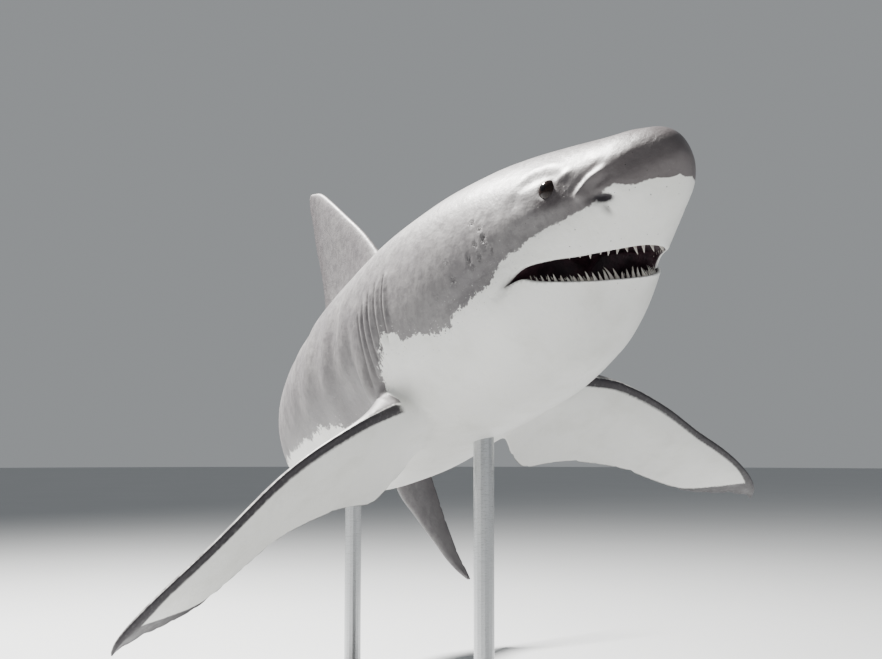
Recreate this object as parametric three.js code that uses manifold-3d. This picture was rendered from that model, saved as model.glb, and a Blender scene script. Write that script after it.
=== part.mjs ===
// A great white shark, 3.5 m long, as a still life-size display model on a plain stand.
//
// The shark is laid out in its own frame: the tip of the snout is the origin, +X points ahead of the
// snout, +Y to the shark's left and +Z to its back. "Station" means the distance back from the snout
// along the spine. The finished shark is then pitched, banked and lifted onto the stand, whose base
// lies on Z = 0 with its centre at the origin of the part. All sizes are in millimetres.

import * as THREE from 'three';
import { mergeVertices } from 'three/addons/utils/BufferGeometryUtils.js';
import Module from 'manifold-3d';

const wasm = await Module();
wasm.setup();

// ---------------------------------------------------------------------------
// Driving dimensions
// ---------------------------------------------------------------------------

const GAP = 0.3; // clearance between neighbouring solids

// Attitude and place of the shark on the stand.
const NOSE_UP = THREE.MathUtils.degToRad( 14.8 );
const BANK = THREE.MathUtils.degToRad( 8.0 ); // left side up
const SNOUT_PLACE = new THREE.Vector3( 1330, - 95, 1330 );

// The body's lines: height of the back, depth of the belly and half width at each station.
const BODY_LINES = [
	{ station: 0, back: 86, belly: 42, half: 54 },
	{ station: 60, back: 85, belly: 62, half: 79 },
	{ station: 122, back: 99, belly: 87, half: 104 },
	{ station: 280, back: 147, belly: 157, half: 163 },
	{ station: 385, back: 178, belly: 224, half: 194 },
	{ station: 490, back: 203, belly: 271, half: 221 },
	{ station: 700, back: 236, belly: 296, half: 255 },
	{ station: 980, back: 257, belly: 293, half: 274 },
	{ station: 1260, back: 259, belly: 299, half: 271 },
	{ station: 1540, back: 242, belly: 281, half: 248 },
	{ station: 1820, back: 218, belly: 240, half: 208 },
	{ station: 2100, back: 178, belly: 190, half: 163 },
	{ station: 2380, back: 134, belly: 136, half: 124 },
	{ station: 2660, back: 85, belly: 81, half: 92 },
	{ station: 2870, back: 56, belly: 52, half: 74 },
	{ station: 3010, back: 48, belly: 45, half: 52 },
	{ station: 3160, back: 36, belly: 34, half: 20 },
];
const BODY_LENGTH = 3160; // the fleshy tail stem ends inside the tail fin
const SNOUT_ROUND = 104; // length over which the tip of the snout rounds off
const STEM_ROUND = 60; // the same at the end of the tail stem
const BODY_RINGS = 52;
const BODY_SIDES = 26;

// The tail stem is drawn out into a keel on each side: its sections turn from oval to lozenge.
const KEEL_START = 2450;
const KEEL_FULL = 2760;
const KEEL_POWER = 1.5;
const ROUND_POWER = 0.96;

// Turn of the spine to the shark's left, in radians, from the head's own heading.
const SPINE_TURN = [
	{ station: 0, turn: 0 },
	{ station: 420, turn: 0 },
	{ station: 1050, turn: 0.042 },
	{ station: 1575, turn: 0.05 },
	{ station: 2100, turn: 0.266 },
	{ station: 2625, turn: 0.695 },
	{ station: 3150, turn: 1.267 },
	{ station: 3500, turn: 1.267 },
];
const SPINE_STEP = 10;

// Stations where the body is parted into its regions.
const CUT_GILLS_FRONT = 760;
const CUT_GILLS_REAR = 985;
const CUT_TRUNK = 1680;
const CUT_STEM = 2420;

// Mouth, seen from the side: the lines of both lips, from their shared corner forwards.
const UPPER_LIP = [
	[ - 413, - 97 ],
	[ - 350, - 79 ],
	[ - 298, - 87 ],
	[ - 245, - 101 ],
	[ - 192, - 110 ],
	[ - 100, - 124 ],
];
const LOWER_LIP = [
	[ - 413, - 97 ],
	[ - 388, - 96.5 ],
	[ - 370, - 98 ],
	[ - 350, - 111.6 ],
	[ - 298, - 138.5 ],
	[ - 150, - 199.6 ],
];
const LIP_STEPS = 10; // straight pieces along each lip
const JAW_HINGE_SLOPE = 1.35; // how steeply the back of the lower jaw falls behind the corner
const JAW_BOTTOM = -420;
const THROAT_CAVITY = { centre: [ -372, 0, -106 ], half: [ 105, 128, 36 ] };

// Teeth stand inside the lips, largest at the front of each jaw.
const TEETH_PER_SIDE = 8;
const TOOTH_INSET = 13;
const UPPER_TOOTH = { height: 15, width: 17, first: 228, last: 366 };
const LOWER_TOOTH = { height: 22, width: 13, first: 289, last: 362 };
const TOOTH_ROOT = 5; // depth of a tooth's foot in the gum
const TOOTH_FLATNESS = 0.42;

// Eyes.
const EYE_RADIUS = 23;
const EYE_STATION = 245;
const EYE_HEIGHT = 38;
const EYE_SINK = 13; // depth of the eyeball's centre below the skin
const EYE_SEGMENTS = [ 12, 8 ];

// Gill slits, from front to rear: station at the middle and the angles round the body, in degrees
// from the shark's side, negative below it.
const GILL_SLITS = [
	{ station: 808, top: 20, bottom: -12 },
	{ station: 850, top: 19, bottom: -15 },
	{ station: 887, top: 17, bottom: -19 },
	{ station: 920, top: 14, bottom: -24 },
	{ station: 950, top: 10, bottom: -30 },
];
const GILL_DEPTH = 9;
const GILL_WIDTH = 5;
const GILL_LEAN = 26; // the foot of a slit lies this far behind its top

// Fins. "out" is the distance along the span, "front" and "rear" are the stations (or distances
// back along the root) of the two edges there.
const FIN_EDGE = 3; // thickness of a fin's trailing edge
const FIN_NOSE = 0.28; // part of the chord over which a fin's front edge rounds up
const BOW_SPAN = 0.76; // share of the span over which a fin may be bowed
const FIN_SIDES = 13; // odd, so that one corner leads and two make the blunt trailing edge

const PECTORAL = {
	rings: 17,
	thick: 46,
	outline: [
		{ out: - 165, front: - 28, rear: 215 },
		{ out: - 108, front: - 14, rear: 280 },
		{ out: - 40, front: - 4, rear: 350 },
		{ out: 6, front: 0, rear: 376 },
		{ out: 60, front: 3, rear: 348 },
		{ out: 125, front: 16, rear: 322 },
		{ out: 250, front: 56, rear: 315 },
		{ out: 400, front: 122, rear: 342 },
		{ out: 515, front: 168, rear: 360 },
		{ out: 600, front: 210, rear: 350 },
		{ out: 680, front: 262, rear: 334 },
		{ out: 722, front: 304, rear: 334 },
		{ out: 736, front: 338, rear: 346 },
	],
};
const PECTORAL_ROOT = { station: 855, side: 276, height: - 202 };
const PECTORAL_POSE = {
	left: { droop: 15.6, sweep: 2.6, twist: 22.7, bow: 0 },
	right: { droop: 20.0, sweep: - 0.2, twist: 26.6, bow: 19 },
};

const FIRST_DORSAL = {
	rings: 13,
	thick: 46,
	outline: [
		{ out: 190, front: 1190, rear: 1600 },
		{ out: 245, front: 1240, rear: 1715 },
		{ out: 275, front: 1262, rear: 1765 },
		{ out: 300, front: 1280, rear: 1800 },
		{ out: 322, front: 1296, rear: 1812 },
		{ out: 350, front: 1320, rear: 1793 },
		{ out: 425, front: 1384, rear: 1768 },
		{ out: 520, front: 1480, rear: 1758 },
		{ out: 600, front: 1562, rear: 1738 },
		{ out: 650, front: 1622, rear: 1733 },
		{ out: 676, front: 1684, rear: 1716 },
	],
};

const SECOND_DORSAL = {
	rings: 8,
	thick: 14,
	outline: [
		{ out: 70, front: 2478, rear: 2530 },
		{ out: 118, front: 2500, rear: 2590 },
		{ out: 132, front: 2512, rear: 2618 },
		{ out: 150, front: 2530, rear: 2600 },
		{ out: 172, front: 2556, rear: 2590 },
		{ out: 180, front: 2572, rear: 2582 },
	],
};

const ANAL_FIN = {
	rings: 8,
	thick: 14,
	outline: [
		{ out: - 62, front: 2548, rear: 2600 },
		{ out: - 104, front: 2566, rear: 2656 },
		{ out: - 118, front: 2578, rear: 2680 },
		{ out: - 136, front: 2596, rear: 2664 },
		{ out: - 158, front: 2622, rear: 2654 },
		{ out: - 166, front: 2636, rear: 2648 },
	],
};

const PELVIC = {
	rings: 9,
	thick: 24,
	outline: [
		{ out: - 60, front: - 10, rear: 130 },
		{ out: - 10, front: 0, rear: 196 },
		{ out: 14, front: 10, rear: 214 },
		{ out: 45, front: 34, rear: 200 },
		{ out: 90, front: 72, rear: 186 },
		{ out: 128, front: 112, rear: 178 },
		{ out: 145, front: 146, rear: 164 },
	],
};
const PELVIC_ROOT = { station: 1935, side: 128, height: - 138 };
const PELVIC_POSE = { droop: 18, sweep: 0, twist: 4, bow: 0 };

const TAIL_FIN = {
	rings: 17,
	thick: 40,
	outline: [
		{ out: - 480, front: 3250, rear: 3262 },
		{ out: - 434, front: 3199, rear: 3249 },
		{ out: - 385, front: 3160, rear: 3231 },
		{ out: - 322, front: 3122, rear: 3218 },
		{ out: - 203, front: 3048, rear: 3200 },
		{ out: - 119, front: 2992, rear: 3192 },
		{ out: - 46, front: 2966, rear: 3184 },
		{ out: 20, front: 2964, rear: 3184 },
		{ out: 80, front: 2990, rear: 3200 },
		{ out: 175, front: 3096, rear: 3243 },
		{ out: 280, front: 3212, rear: 3312 },
		{ out: 385, front: 3336, rear: 3385 },
		{ out: 455, front: 3418, rear: 3448 },
		{ out: 520, front: 3488, rear: 3498 },
	],
};

// The stand: a flat base and two rods that end in the belly.
const BASE_SIZE = { length: 1500, width: 800, height: 45 };
const BASE_CORNER = 60;
const BASE_BEVEL = 6;
const ROD_RADIUS = 25;
const ROD_SIDES = 16;
const ROD_TOP = 900; // before the belly trims it
const COLLAR = { radius: 62, height: 24, bevel: 6 };
const ROD_STATIONS = { front: 985, rear: 1960 };

const COLOURS = {
	back: 0x6d7078,
	belly: 0xdcdcdc,
	fin: 0x666a72,
	eye: 0x0b0b0d,
	base: 0x2c2d30,
	rod: 0xb4b6b8,
};

// ---------------------------------------------------------------------------
// Helpers
// ---------------------------------------------------------------------------

// A smooth function through rising knots, with no overshoot between them (monotone cubic).
function smoothThrough( rows, at, value ) {

	const xs = rows.map( ( row ) => row[ at ] );
	const ys = rows.map( ( row ) => row[ value ] );
	const last = xs.length - 1;
	const slopes = [];
	for ( let i = 0; i < last; i ++ ) slopes.push( ( ys[ i + 1 ] - ys[ i ] ) / ( xs[ i + 1 ] - xs[ i ] ) );

	const tangents = xs.map( ( _, i ) => {

		if ( i === 0 ) return slopes[ 0 ];
		if ( i === last ) return slopes[ last - 1 ];
		const before = slopes[ i - 1 ];
		const after = slopes[ i ];
		return before * after <= 0 ? 0 : 2 * before * after / ( before + after );

	} );

	return ( x ) => {

		const clamped = THREE.MathUtils.clamp( x, xs[ 0 ], xs[ last ] );
		let i = 0;
		while ( i < last - 1 && clamped > xs[ i + 1 ] ) i ++;
		const width = xs[ i + 1 ] - xs[ i ];
		const t = ( clamped - xs[ i ] ) / width;
		const rise = t * t * ( 3 - 2 * t );
		const start = t * ( 1 - t ) * ( 1 - t ) * width * tangents[ i ];
		const end = t * t * ( t - 1 ) * width * tangents[ i + 1 ];
		return ys[ i ] * ( 1 - rise ) + ys[ i + 1 ] * rise + start + end;

	};

}

// Moves every vertex of a geometry by a function and welds what now coincides.
function shaped( geometry, move ) {

	geometry.deleteAttribute( 'normal' );
	geometry.deleteAttribute( 'uv' );
	const position = geometry.getAttribute( 'position' );
	const point = new THREE.Vector3();
	for ( let i = 0; i < position.count; i ++ ) {

		point.fromBufferAttribute( position, i );
		move( point );
		position.setXYZ( i, point.x, point.y, point.z );

	}

	return mergeVertices( geometry, 1e-3 );

}

const unmoved = () => {};

// Six times the signed volume of an indexed mesh: below zero where its faces point inwards.
function signedVolume( vertices, triangles ) {

	const corner = ( index ) => new THREE.Vector3().fromArray( vertices, 3 * triangles[ index ] );
	let sum = 0;
	for ( let i = 0; i < triangles.length; i += 3 ) {

		sum += corner( i ).dot( corner( i + 1 ).cross( corner( i + 2 ) ) );

	}

	return sum;

}

// A welded geometry as a solid, with its faces turned outwards.
function solid( geometry ) {

	const vertProperties = new Float32Array( geometry.getAttribute( 'position' ).array );
	const triVerts = new Uint32Array( geometry.getIndex().array );
	if ( signedVolume( vertProperties, triVerts ) < 0 ) triVerts.reverse();
	return new wasm.Manifold( new wasm.Mesh( { numProp: 3, vertProperties, triVerts } ) );

}

function geometryOf( manifold ) {

	const mesh = manifold.getMesh();
	const geometry = new THREE.BufferGeometry();
	const points = new THREE.BufferAttribute( new Float32Array( mesh.vertProperties ), 3 );
	geometry.setAttribute( 'position', points );
	geometry.setIndex( new THREE.BufferAttribute( new Uint32Array( mesh.triVerts ), 1 ) );
	geometry.computeVertexNormals();
	return geometry;

}

function named( name, manifold, colour, roughness = 0.55, metalness = 0 ) {

	const material = new THREE.MeshStandardMaterial( { color: colour, roughness, metalness } );
	const mesh = new THREE.Mesh( geometryOf( manifold ), material );
	mesh.name = name;
	return mesh;

}

// ---------------------------------------------------------------------------
// Spine and body surface
// ---------------------------------------------------------------------------

const turnAt = smoothThrough( SPINE_TURN, 'station', 'turn' );
const SPINE_END = SPINE_TURN[ SPINE_TURN.length - 1 ].station;

const spinePoints = [ new THREE.Vector3() ];
for ( let station = 0; station < SPINE_END; station += SPINE_STEP ) {

	const turn = turnAt( station + SPINE_STEP / 2 );
	const step = new THREE.Vector3( - Math.cos( turn ), Math.sin( turn ), 0 ).multiplyScalar( SPINE_STEP );
	spinePoints.push( spinePoints[ spinePoints.length - 1 ].clone().add( step ) );

}

// The spine is straight ahead of the snout and beyond the tip of the tail.
function spineAt( station ) {

	const index = THREE.MathUtils.clamp( Math.floor( station / SPINE_STEP ), 0, spinePoints.length - 2 );
	return spinePoints[ index ].clone().lerp( spinePoints[ index + 1 ], station / SPINE_STEP - index );

}

// The point beside the spine: "side" to the shark's left and "height" above it.
function beside( station, side, height ) {

	const turn = turnAt( station );
	const point = spineAt( station );
	point.x += side * Math.sin( turn );
	point.y += side * Math.cos( turn );
	point.z += height;
	return point;

}

const backAt = smoothThrough( BODY_LINES, 'station', 'back' );
const bellyAt = smoothThrough( BODY_LINES, 'station', 'belly' );
const halfAt = smoothThrough( BODY_LINES, 'station', 'half' );

function endRounding( station ) {

	const fromSnout = Math.min( 1, Math.max( 0, station ) / SNOUT_ROUND );
	const fromStem = Math.min( 1, Math.max( 0, BODY_LENGTH - station ) / STEM_ROUND );
	return Math.sqrt( 1 - ( 1 - fromSnout ) ** 2 ) * Math.sqrt( 1 - ( 1 - fromStem ) ** 2 );

}

// A section of the body at an angle from its left side (a right angle is the back), as distances to
// the side and up from the spine.
function section( station, angle ) {

	const round = endRounding( station );
	const keel = THREE.MathUtils.smoothstep( station, KEEL_START, KEEL_FULL );
	const power = THREE.MathUtils.lerp( ROUND_POWER, KEEL_POWER, keel );
	const cos = Math.cos( angle );
	const sin = Math.sin( angle );
	const reach = sin > 0 ? backAt( station ) : bellyAt( station );
	return {
		side: halfAt( station ) * round * Math.sign( cos ) * Math.abs( cos ) ** power,
		height: reach * round * Math.sign( sin ) * Math.abs( sin ) ** power,
	};

}

// Rings are closer together over the head and the tail stem than along the trunk.
function ringStation( fraction ) {

	const eased = fraction - 0.075 * Math.sin( 2 * Math.PI * fraction );
	return BODY_LENGTH * eased ** 1.12;

}

function bodySolid( swell ) {

	const sphere = new THREE.SphereGeometry( 1, BODY_SIDES, BODY_RINGS );
	return solid( shaped( sphere, ( point ) => {

		const fraction = Math.acos( THREE.MathUtils.clamp( point.y, - 1, 1 ) ) / Math.PI;
		const angle = Math.atan2( point.x, point.z );
		const station = ringStation( fraction );
		const skin = section( station, angle );
		const inRing = Math.hypot( point.x, point.z ) > 1e-6 ? 1 : 0;
		const side = inRing * ( skin.side + swell * Math.cos( angle ) );
		const height = inRing * ( skin.height + swell * Math.sin( angle ) );
		point.copy( beside( station, side, height ) );

	} ) );

}

const body = bodySolid( 0 );
const bodyAndGap = bodySolid( GAP );

// ---------------------------------------------------------------------------
// Fins
// ---------------------------------------------------------------------------

// Half thickness of a fin's section at a fraction of its chord: round in front, thin behind.
function finHalfThickness( chordFraction, thick ) {

	const front = Math.min( 1, chordFraction / FIN_NOSE );
	const nose = Math.sqrt( front * ( 2 - front ) );
	const tail = 1 - THREE.MathUtils.smoothstep( chordFraction, 0.2, 1.05 );
	return nose * ( FIN_EDGE / 2 + Math.max( 0, thick - FIN_EDGE ) / 2 * tail );

}

// A fin as a closed solid. "toBody" takes a point of the fin, given as its distance out along the
// span, its distance back along the chord and its distance off the fin's plane.
function finSolid( fin, toBody ) {

	const outline = [ ...fin.outline ].sort( ( a, b ) => a.out - b.out );
	const frontAt = smoothThrough( outline, 'out', 'front' );
	const rearAt = smoothThrough( outline, 'out', 'rear' );
	const first = outline[ 0 ].out;
	const last = outline[ outline.length - 1 ].out;
	const longest = Math.max( ...outline.map( ( row ) => row.rear - row.front ) );
	const tube = new THREE.CylinderGeometry( 1, 1, 1, FIN_SIDES, fin.rings );
	return solid( shaped( tube, ( point ) => {

		// Rings are closer together towards the tips.
		const along = 0.5 - point.y;
		const eased = ( 1 - Math.cos( Math.PI * along ) ) / 2;
		const out = THREE.MathUtils.lerp( first, last, THREE.MathUtils.lerp( along, eased, 0.7 ) );
		const front = frontAt( out );
		const chord = rearAt( out ) - front;
		const inRing = Math.hypot( point.x, point.z ) > 0.5;
		const rearCorner = 1 + Math.cos( Math.PI / FIN_SIDES );
		const chordFraction = inRing ? Math.min( 1, ( 1 - point.z ) / rearCorner ) : 0.5;
		const thick = fin.thick * Math.sqrt( chord / longest );
		const half = inRing ? finHalfThickness( chordFraction, thick ) * Math.sign( point.x ) : 0;
		point.copy( toBody( out, front + chord * chordFraction, half ) );

	} ) );

}

// The fins on the back, under the tail and at its end stand in the body's middle plane.
const upright = ( out, station, half ) => beside( station, half, out );

// The frame of a paired fin. Droop tilts the span down, twist lowers the rear edge, sweep turns the
// fin back about its own normal and bow lifts the inner part of its span.
function pairedFin( fin, root, pose, hand ) {

	const reach = fin.outline[ fin.outline.length - 1 ].out;
	const side = new THREE.Vector3( 0, hand, 0 );
	const back = new THREE.Vector3( - 1, 0, 0 );
	const up = new THREE.Vector3( 0, 0, 1 );
	const droop = THREE.MathUtils.degToRad( pose.droop );
	const twist = THREE.MathUtils.degToRad( pose.twist );
	const sweep = THREE.MathUtils.degToRad( pose.sweep );
	const span = side.clone().multiplyScalar( Math.cos( droop ) ).addScaledVector( up, - Math.sin( droop ) );
	const across = new THREE.Vector3().crossVectors( back, span ).multiplyScalar( hand );
	const chord = back.clone().multiplyScalar( Math.cos( twist ) );
	chord.addScaledVector( across, Math.sin( twist ) );
	const outward = span.clone().multiplyScalar( Math.cos( sweep ) );
	outward.addScaledVector( chord, Math.sin( sweep ) );
	const backward = chord.clone().multiplyScalar( Math.cos( sweep ) );
	backward.addScaledVector( span, - Math.sin( sweep ) );
	const normal = new THREE.Vector3().crossVectors( outward, backward ).multiplyScalar( - 1 );
	const origin = beside( root.station, hand * root.side, root.height );
	return ( out, behind, half ) => {

		const inner = THREE.MathUtils.clamp( out / ( BOW_SPAN * reach ), 0, 1 );
		const bowed = pose.bow * Math.sin( Math.PI * inner ) ** 2;
		return origin.clone()
			.addScaledVector( outward, out )
			.addScaledVector( backward, behind )
			.addScaledVector( normal, half - hand * bowed );

	};

}

// ---------------------------------------------------------------------------
// Cutters
// ---------------------------------------------------------------------------

const REACH = 4000; // larger than any part of the shark

// Everything ahead of the section at a station, or everything behind it.
function halfSpace( station, ahead ) {

	const turn = turnAt( station );
	const box = new THREE.BoxGeometry( REACH, REACH, REACH );
	box.translate( ( ahead ? 1 : - 1 ) * REACH / 2, 0, 0 );
	box.rotateZ( - turn );
	box.translate( ...spineAt( station ).toArray() );
	return solid( shaped( box, unmoved ) );

}

function slice( from, to ) {

	const opened = from > 0 ? body.intersect( halfSpace( from + GAP / 2, false ) ) : body;
	return to < BODY_LENGTH ? opened.intersect( halfSpace( to - GAP / 2, true ) ) : opened;

}

const PRISM_WIDTH = 1600; // well over the width of the head

// A prism right across the head, from its outline seen from the side.
function sidePrism( outline ) {

	const shape = new THREE.Shape( outline.map( ( [ x, z ] ) => new THREE.Vector2( x, z ) ) );
	const prism = new THREE.ExtrudeGeometry( shape, { depth: PRISM_WIDTH, bevelEnabled: false } );
	return solid( shaped( prism, ( point ) => point.set( point.x, point.z - PRISM_WIDTH / 2, point.y ) ) );

}

function ellipsoid( centre, half, segments ) {

	const sphere = new THREE.SphereGeometry( 1, ...segments );
	sphere.scale( ...half );
	sphere.translate( ...centre );
	return solid( shaped( sphere, unmoved ) );

}

// ---------------------------------------------------------------------------
// Head: mouth, jaw, teeth and eyes
// ---------------------------------------------------------------------------

const corner = UPPER_LIP[ 0 ];

// A lip's height at x in the side view.
function lipHeight( lip ) {

	return smoothThrough( lip.map( ( [ x, z ] ) => ( { x, z } ) ), 'x', 'z' );

}

const upperLipHeight = lipHeight( UPPER_LIP );
const lowerLipHeight = lipHeight( LOWER_LIP );

// A lip's line in the side view, from the mouth's corner to its front end.
function lipLine( lip, raised ) {

	const heightAt = lipHeight( lip );
	const front = lip[ lip.length - 1 ][ 0 ];
	return Array.from( { length: LIP_STEPS + 1 }, ( _, i ) => {

		const x = THREE.MathUtils.lerp( corner[ 0 ], front, i / LIP_STEPS );
		return [ x, heightAt( x ) + raised ];

	} );

}

// The lower jaw is all that lies below the lower lip, back to a slope behind the mouth's corner.
// "grow" widens it all round, to leave the gap to its neighbours.
function jawRegion( grow ) {

	const top = corner[ 1 ] + grow;
	const rear = corner[ 0 ] - grow - ( top - JAW_BOTTOM ) / JAW_HINGE_SLOPE;
	const line = lipLine( LOWER_LIP, grow );
	const front = line[ line.length - 1 ][ 0 ];
	return sidePrism( [
		[ corner[ 0 ] - grow, top ],
		...line.slice( 1 ),
		[ front, JAW_BOTTOM ],
		[ rear, JAW_BOTTOM ],
	] );

}

function mouthOpening() {

	const lower = lipLine( LOWER_LIP, 0 ).slice( 1 ).reverse();
	return sidePrism( [ ...lipLine( UPPER_LIP, 0 ), ...lower ] );

}

// The half width of the head at a station, measured at a height below the spine.
function sideAtHeight( station, height ) {

	const reach = bellyAt( station ) * endRounding( station );
	const sine = Math.min( 1, ( - height / reach ) ** ( 1 / ROUND_POWER ) );
	return halfAt( station ) * endRounding( station ) * ( 1 - sine * sine ) ** ( ROUND_POWER / 2 );

}

// One row of teeth round a jaw, for both sides. "heightAt" is the lip's height at x, and "upward"
// says which way the teeth point.
function toothRow( tooth, heightAt, upward ) {

	const steps = 24;
	const arch = new THREE.CatmullRomCurve3( Array.from( { length: steps + 1 }, ( _, i ) => {

		const station = THREE.MathUtils.lerp( tooth.first, tooth.last, ( i / steps ) ** 2 );
		const side = i === 0 ? 0 : sideAtHeight( station, heightAt( - station ) ) - TOOTH_INSET;
		return new THREE.Vector3( - station, Math.max( 0, side ), heightAt( - station ) );

	} ) );
	const teeth = [];
	for ( const hand of [ 1, - 1 ] ) {

		for ( let i = 0; i < TEETH_PER_SIDE; i ++ ) {

			const along = ( i + 0.5 ) / TEETH_PER_SIDE;
			const foot = arch.getPointAt( along );
			const tangent = arch.getTangentAt( along );
			const size = THREE.MathUtils.lerp( 1, 0.45, along * along );
			const height = tooth.height * size + TOOTH_ROOT;
			const cone = new THREE.ConeGeometry( tooth.width * size * Math.SQRT1_2, height, 4 );
			cone.rotateY( Math.PI / 4 );
			cone.scale( 1, 1, TOOTH_FLATNESS );
			cone.translate( 0, height / 2 - TOOTH_ROOT, 0 );
			cone.rotateX( upward ? Math.PI / 2 : - Math.PI / 2 );
			cone.rotateZ( Math.atan2( hand * tangent.y, tangent.x ) );
			cone.translate( foot.x, hand * foot.y, foot.z );
			teeth.push( solid( shaped( cone, unmoved ) ) );

		}

	}

	return teeth;

}

const joined = ( start, others ) => others.reduce( ( sum, other ) => sum.add( other ), start );
const cutBy = ( start, others ) => others.reduce( ( rest, other ) => rest.subtract( other ), start );

// The skin's outward direction, from its slopes along and round the body.
function skinNormal( station, angle ) {

	const small = 0.02;
	const at = ( s, a ) => {

		const skin = section( s, a );
		return beside( s, skin.side, skin.height );

	};
	const along = at( station + 1, angle ).sub( at( station - 1, angle ) );
	const round = at( station, angle + small ).sub( at( station, angle - small ) );
	const normal = new THREE.Vector3().crossVectors( round, along ).normalize();
	const outside = at( station, angle ).sub( spineAt( station ) );
	return normal.dot( outside ) > 0 ? normal : normal.negate();

}

function eyePlace( hand ) {

	const reach = backAt( EYE_STATION );
	const angle = Math.asin( EYE_HEIGHT / reach );
	const around = hand > 0 ? angle : Math.PI - angle;
	const skin = section( EYE_STATION, around );
	const point = beside( EYE_STATION, skin.side, skin.height );
	return point.addScaledVector( skinNormal( EYE_STATION, around ), - EYE_SINK );

}

function eyeball( hand, grow ) {

	const radius = EYE_RADIUS + grow;
	return ellipsoid( eyePlace( hand ).toArray(), [ radius, radius, radius ], EYE_SEGMENTS );

}

// ---------------------------------------------------------------------------
// Gill slits
// ---------------------------------------------------------------------------

function gillSlit( slit, hand ) {

	const box = new THREE.BoxGeometry( 1, 1, 1, 1, 1, 3 );
	return solid( shaped( box, ( point ) => {

		const down = 0.5 - point.z;
		const degrees = THREE.MathUtils.lerp( slit.top, slit.bottom, down );
		const taper = 1 - 0.7 * Math.abs( 2 * down - 1 ) ** 3;
		const station = slit.station + GILL_LEAN * ( down - 0.5 ) + point.x * GILL_WIDTH * taper;
		const fromSide = THREE.MathUtils.degToRad( degrees );
		const angle = hand > 0 ? fromSide : Math.PI - fromSide;
		const skin = section( station, angle );
		const off = point.y > 0 ? 2 * GILL_DEPTH : - GILL_DEPTH * taper;
		const side = skin.side + off * Math.cos( angle );
		const height = skin.height + off * Math.sin( angle );
		point.copy( beside( station, side, height ) );

	} ) );

}

// ---------------------------------------------------------------------------
// The shark
// ---------------------------------------------------------------------------

const shark = new THREE.Group();

const frontOfHead = slice( 0, CUT_GILLS_FRONT );
const throatCavity = ellipsoid( THROAT_CAVITY.centre, THROAT_CAVITY.half, [ 16, 10 ] );
const sockets = [ 1, - 1 ].map( ( hand ) => eyeball( hand, GAP ) );
const headBare = cutBy( frontOfHead, [ jawRegion( GAP ), mouthOpening(), throatCavity, ...sockets ] );
const jawBare = cutBy( frontOfHead.intersect( jawRegion( 0 ) ), [ throatCavity ] );
const head = joined( headBare, toothRow( UPPER_TOOTH, upperLipHeight, false ) );
const jaw = joined( jawBare, toothRow( LOWER_TOOTH, lowerLipHeight, true ) );
shark.add( named( 'head', head, COLOURS.back ) );
shark.add( named( 'lower_jaw', jaw, COLOURS.belly ) );

const slits = GILL_SLITS.flatMap( ( slit ) => [ gillSlit( slit, 1 ), gillSlit( slit, - 1 ) ] );
shark.add( named( 'gill_region', cutBy( slice( CUT_GILLS_FRONT, CUT_GILLS_REAR ), slits ), COLOURS.back ) );
shark.add( named( 'trunk_front', slice( CUT_GILLS_REAR, CUT_TRUNK ), COLOURS.back ) );
shark.add( named( 'trunk_rear', slice( CUT_TRUNK, CUT_STEM ), COLOURS.back ) );
shark.add( named( 'tail_stem', slice( CUT_STEM, BODY_LENGTH ), COLOURS.back ) );

const uprightFins = {
	dorsal_fin_first: FIRST_DORSAL,
	dorsal_fin_second: SECOND_DORSAL,
	anal_fin: ANAL_FIN,
	tail_fin: TAIL_FIN,
};
for ( const [ name, fin ] of Object.entries( uprightFins ) ) {

	shark.add( named( name, finSolid( fin, upright ).subtract( bodyAndGap ), COLOURS.fin ) );

}

for ( const [ side, hand ] of [ [ 'left', 1 ], [ 'right', - 1 ] ] ) {

	const pectoral = finSolid( PECTORAL, pairedFin( PECTORAL, PECTORAL_ROOT, PECTORAL_POSE[ side ], hand ) );
	const pelvic = finSolid( PELVIC, pairedFin( PELVIC, PELVIC_ROOT, PELVIC_POSE, hand ) );
	shark.add( named( `pectoral_fin_${ side }`, pectoral.subtract( bodyAndGap ), COLOURS.fin ) );
	shark.add( named( `pelvic_fin_${ side }`, pelvic.subtract( bodyAndGap ), COLOURS.fin ) );
	shark.add( named( `eye_${ side }`, eyeball( hand, 0 ), COLOURS.eye, 0.1 ) );

}

shark.rotation.set( BANK, - NOSE_UP, 0, 'YXZ' );
shark.position.copy( SNOUT_PLACE );
shark.updateMatrix();

// ---------------------------------------------------------------------------
// The stand
// ---------------------------------------------------------------------------

const stand = new THREE.Group();

function baseSolid() {

	const halfLength = BASE_SIZE.length / 2 - BASE_BEVEL;
	const halfWidth = BASE_SIZE.width / 2 - BASE_BEVEL;
	const radius = BASE_CORNER - BASE_BEVEL;
	const shape = new THREE.Shape();
	shape.absarc( halfLength - radius, halfWidth - radius, radius, 0, Math.PI / 2 );
	shape.absarc( radius - halfLength, halfWidth - radius, radius, Math.PI / 2, Math.PI );
	shape.absarc( radius - halfLength, radius - halfWidth, radius, Math.PI, 1.5 * Math.PI );
	shape.absarc( halfLength - radius, radius - halfWidth, radius, 1.5 * Math.PI, 2 * Math.PI );
	const plate = new THREE.ExtrudeGeometry( shape, {
		depth: BASE_SIZE.height - BASE_BEVEL,
		bevelEnabled: true,
		bevelThickness: BASE_BEVEL,
		bevelSize: BASE_BEVEL,
		bevelSegments: 1,
		curveSegments: 5,
	} );
	return solid( shaped( plate, ( point ) => {

		point.z = Math.max( 0, point.z );

	} ) );

}

// Where the belly lies above the floor at a station, in the part's own frame.
function bellyPlace( station ) {

	return beside( station, 0, - bellyAt( station ) ).applyMatrix4( shark.matrix );

}

const placedBody = solid( shaped( geometryOf( bodyAndGap ).applyMatrix4( shark.matrix ), unmoved ) );

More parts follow.
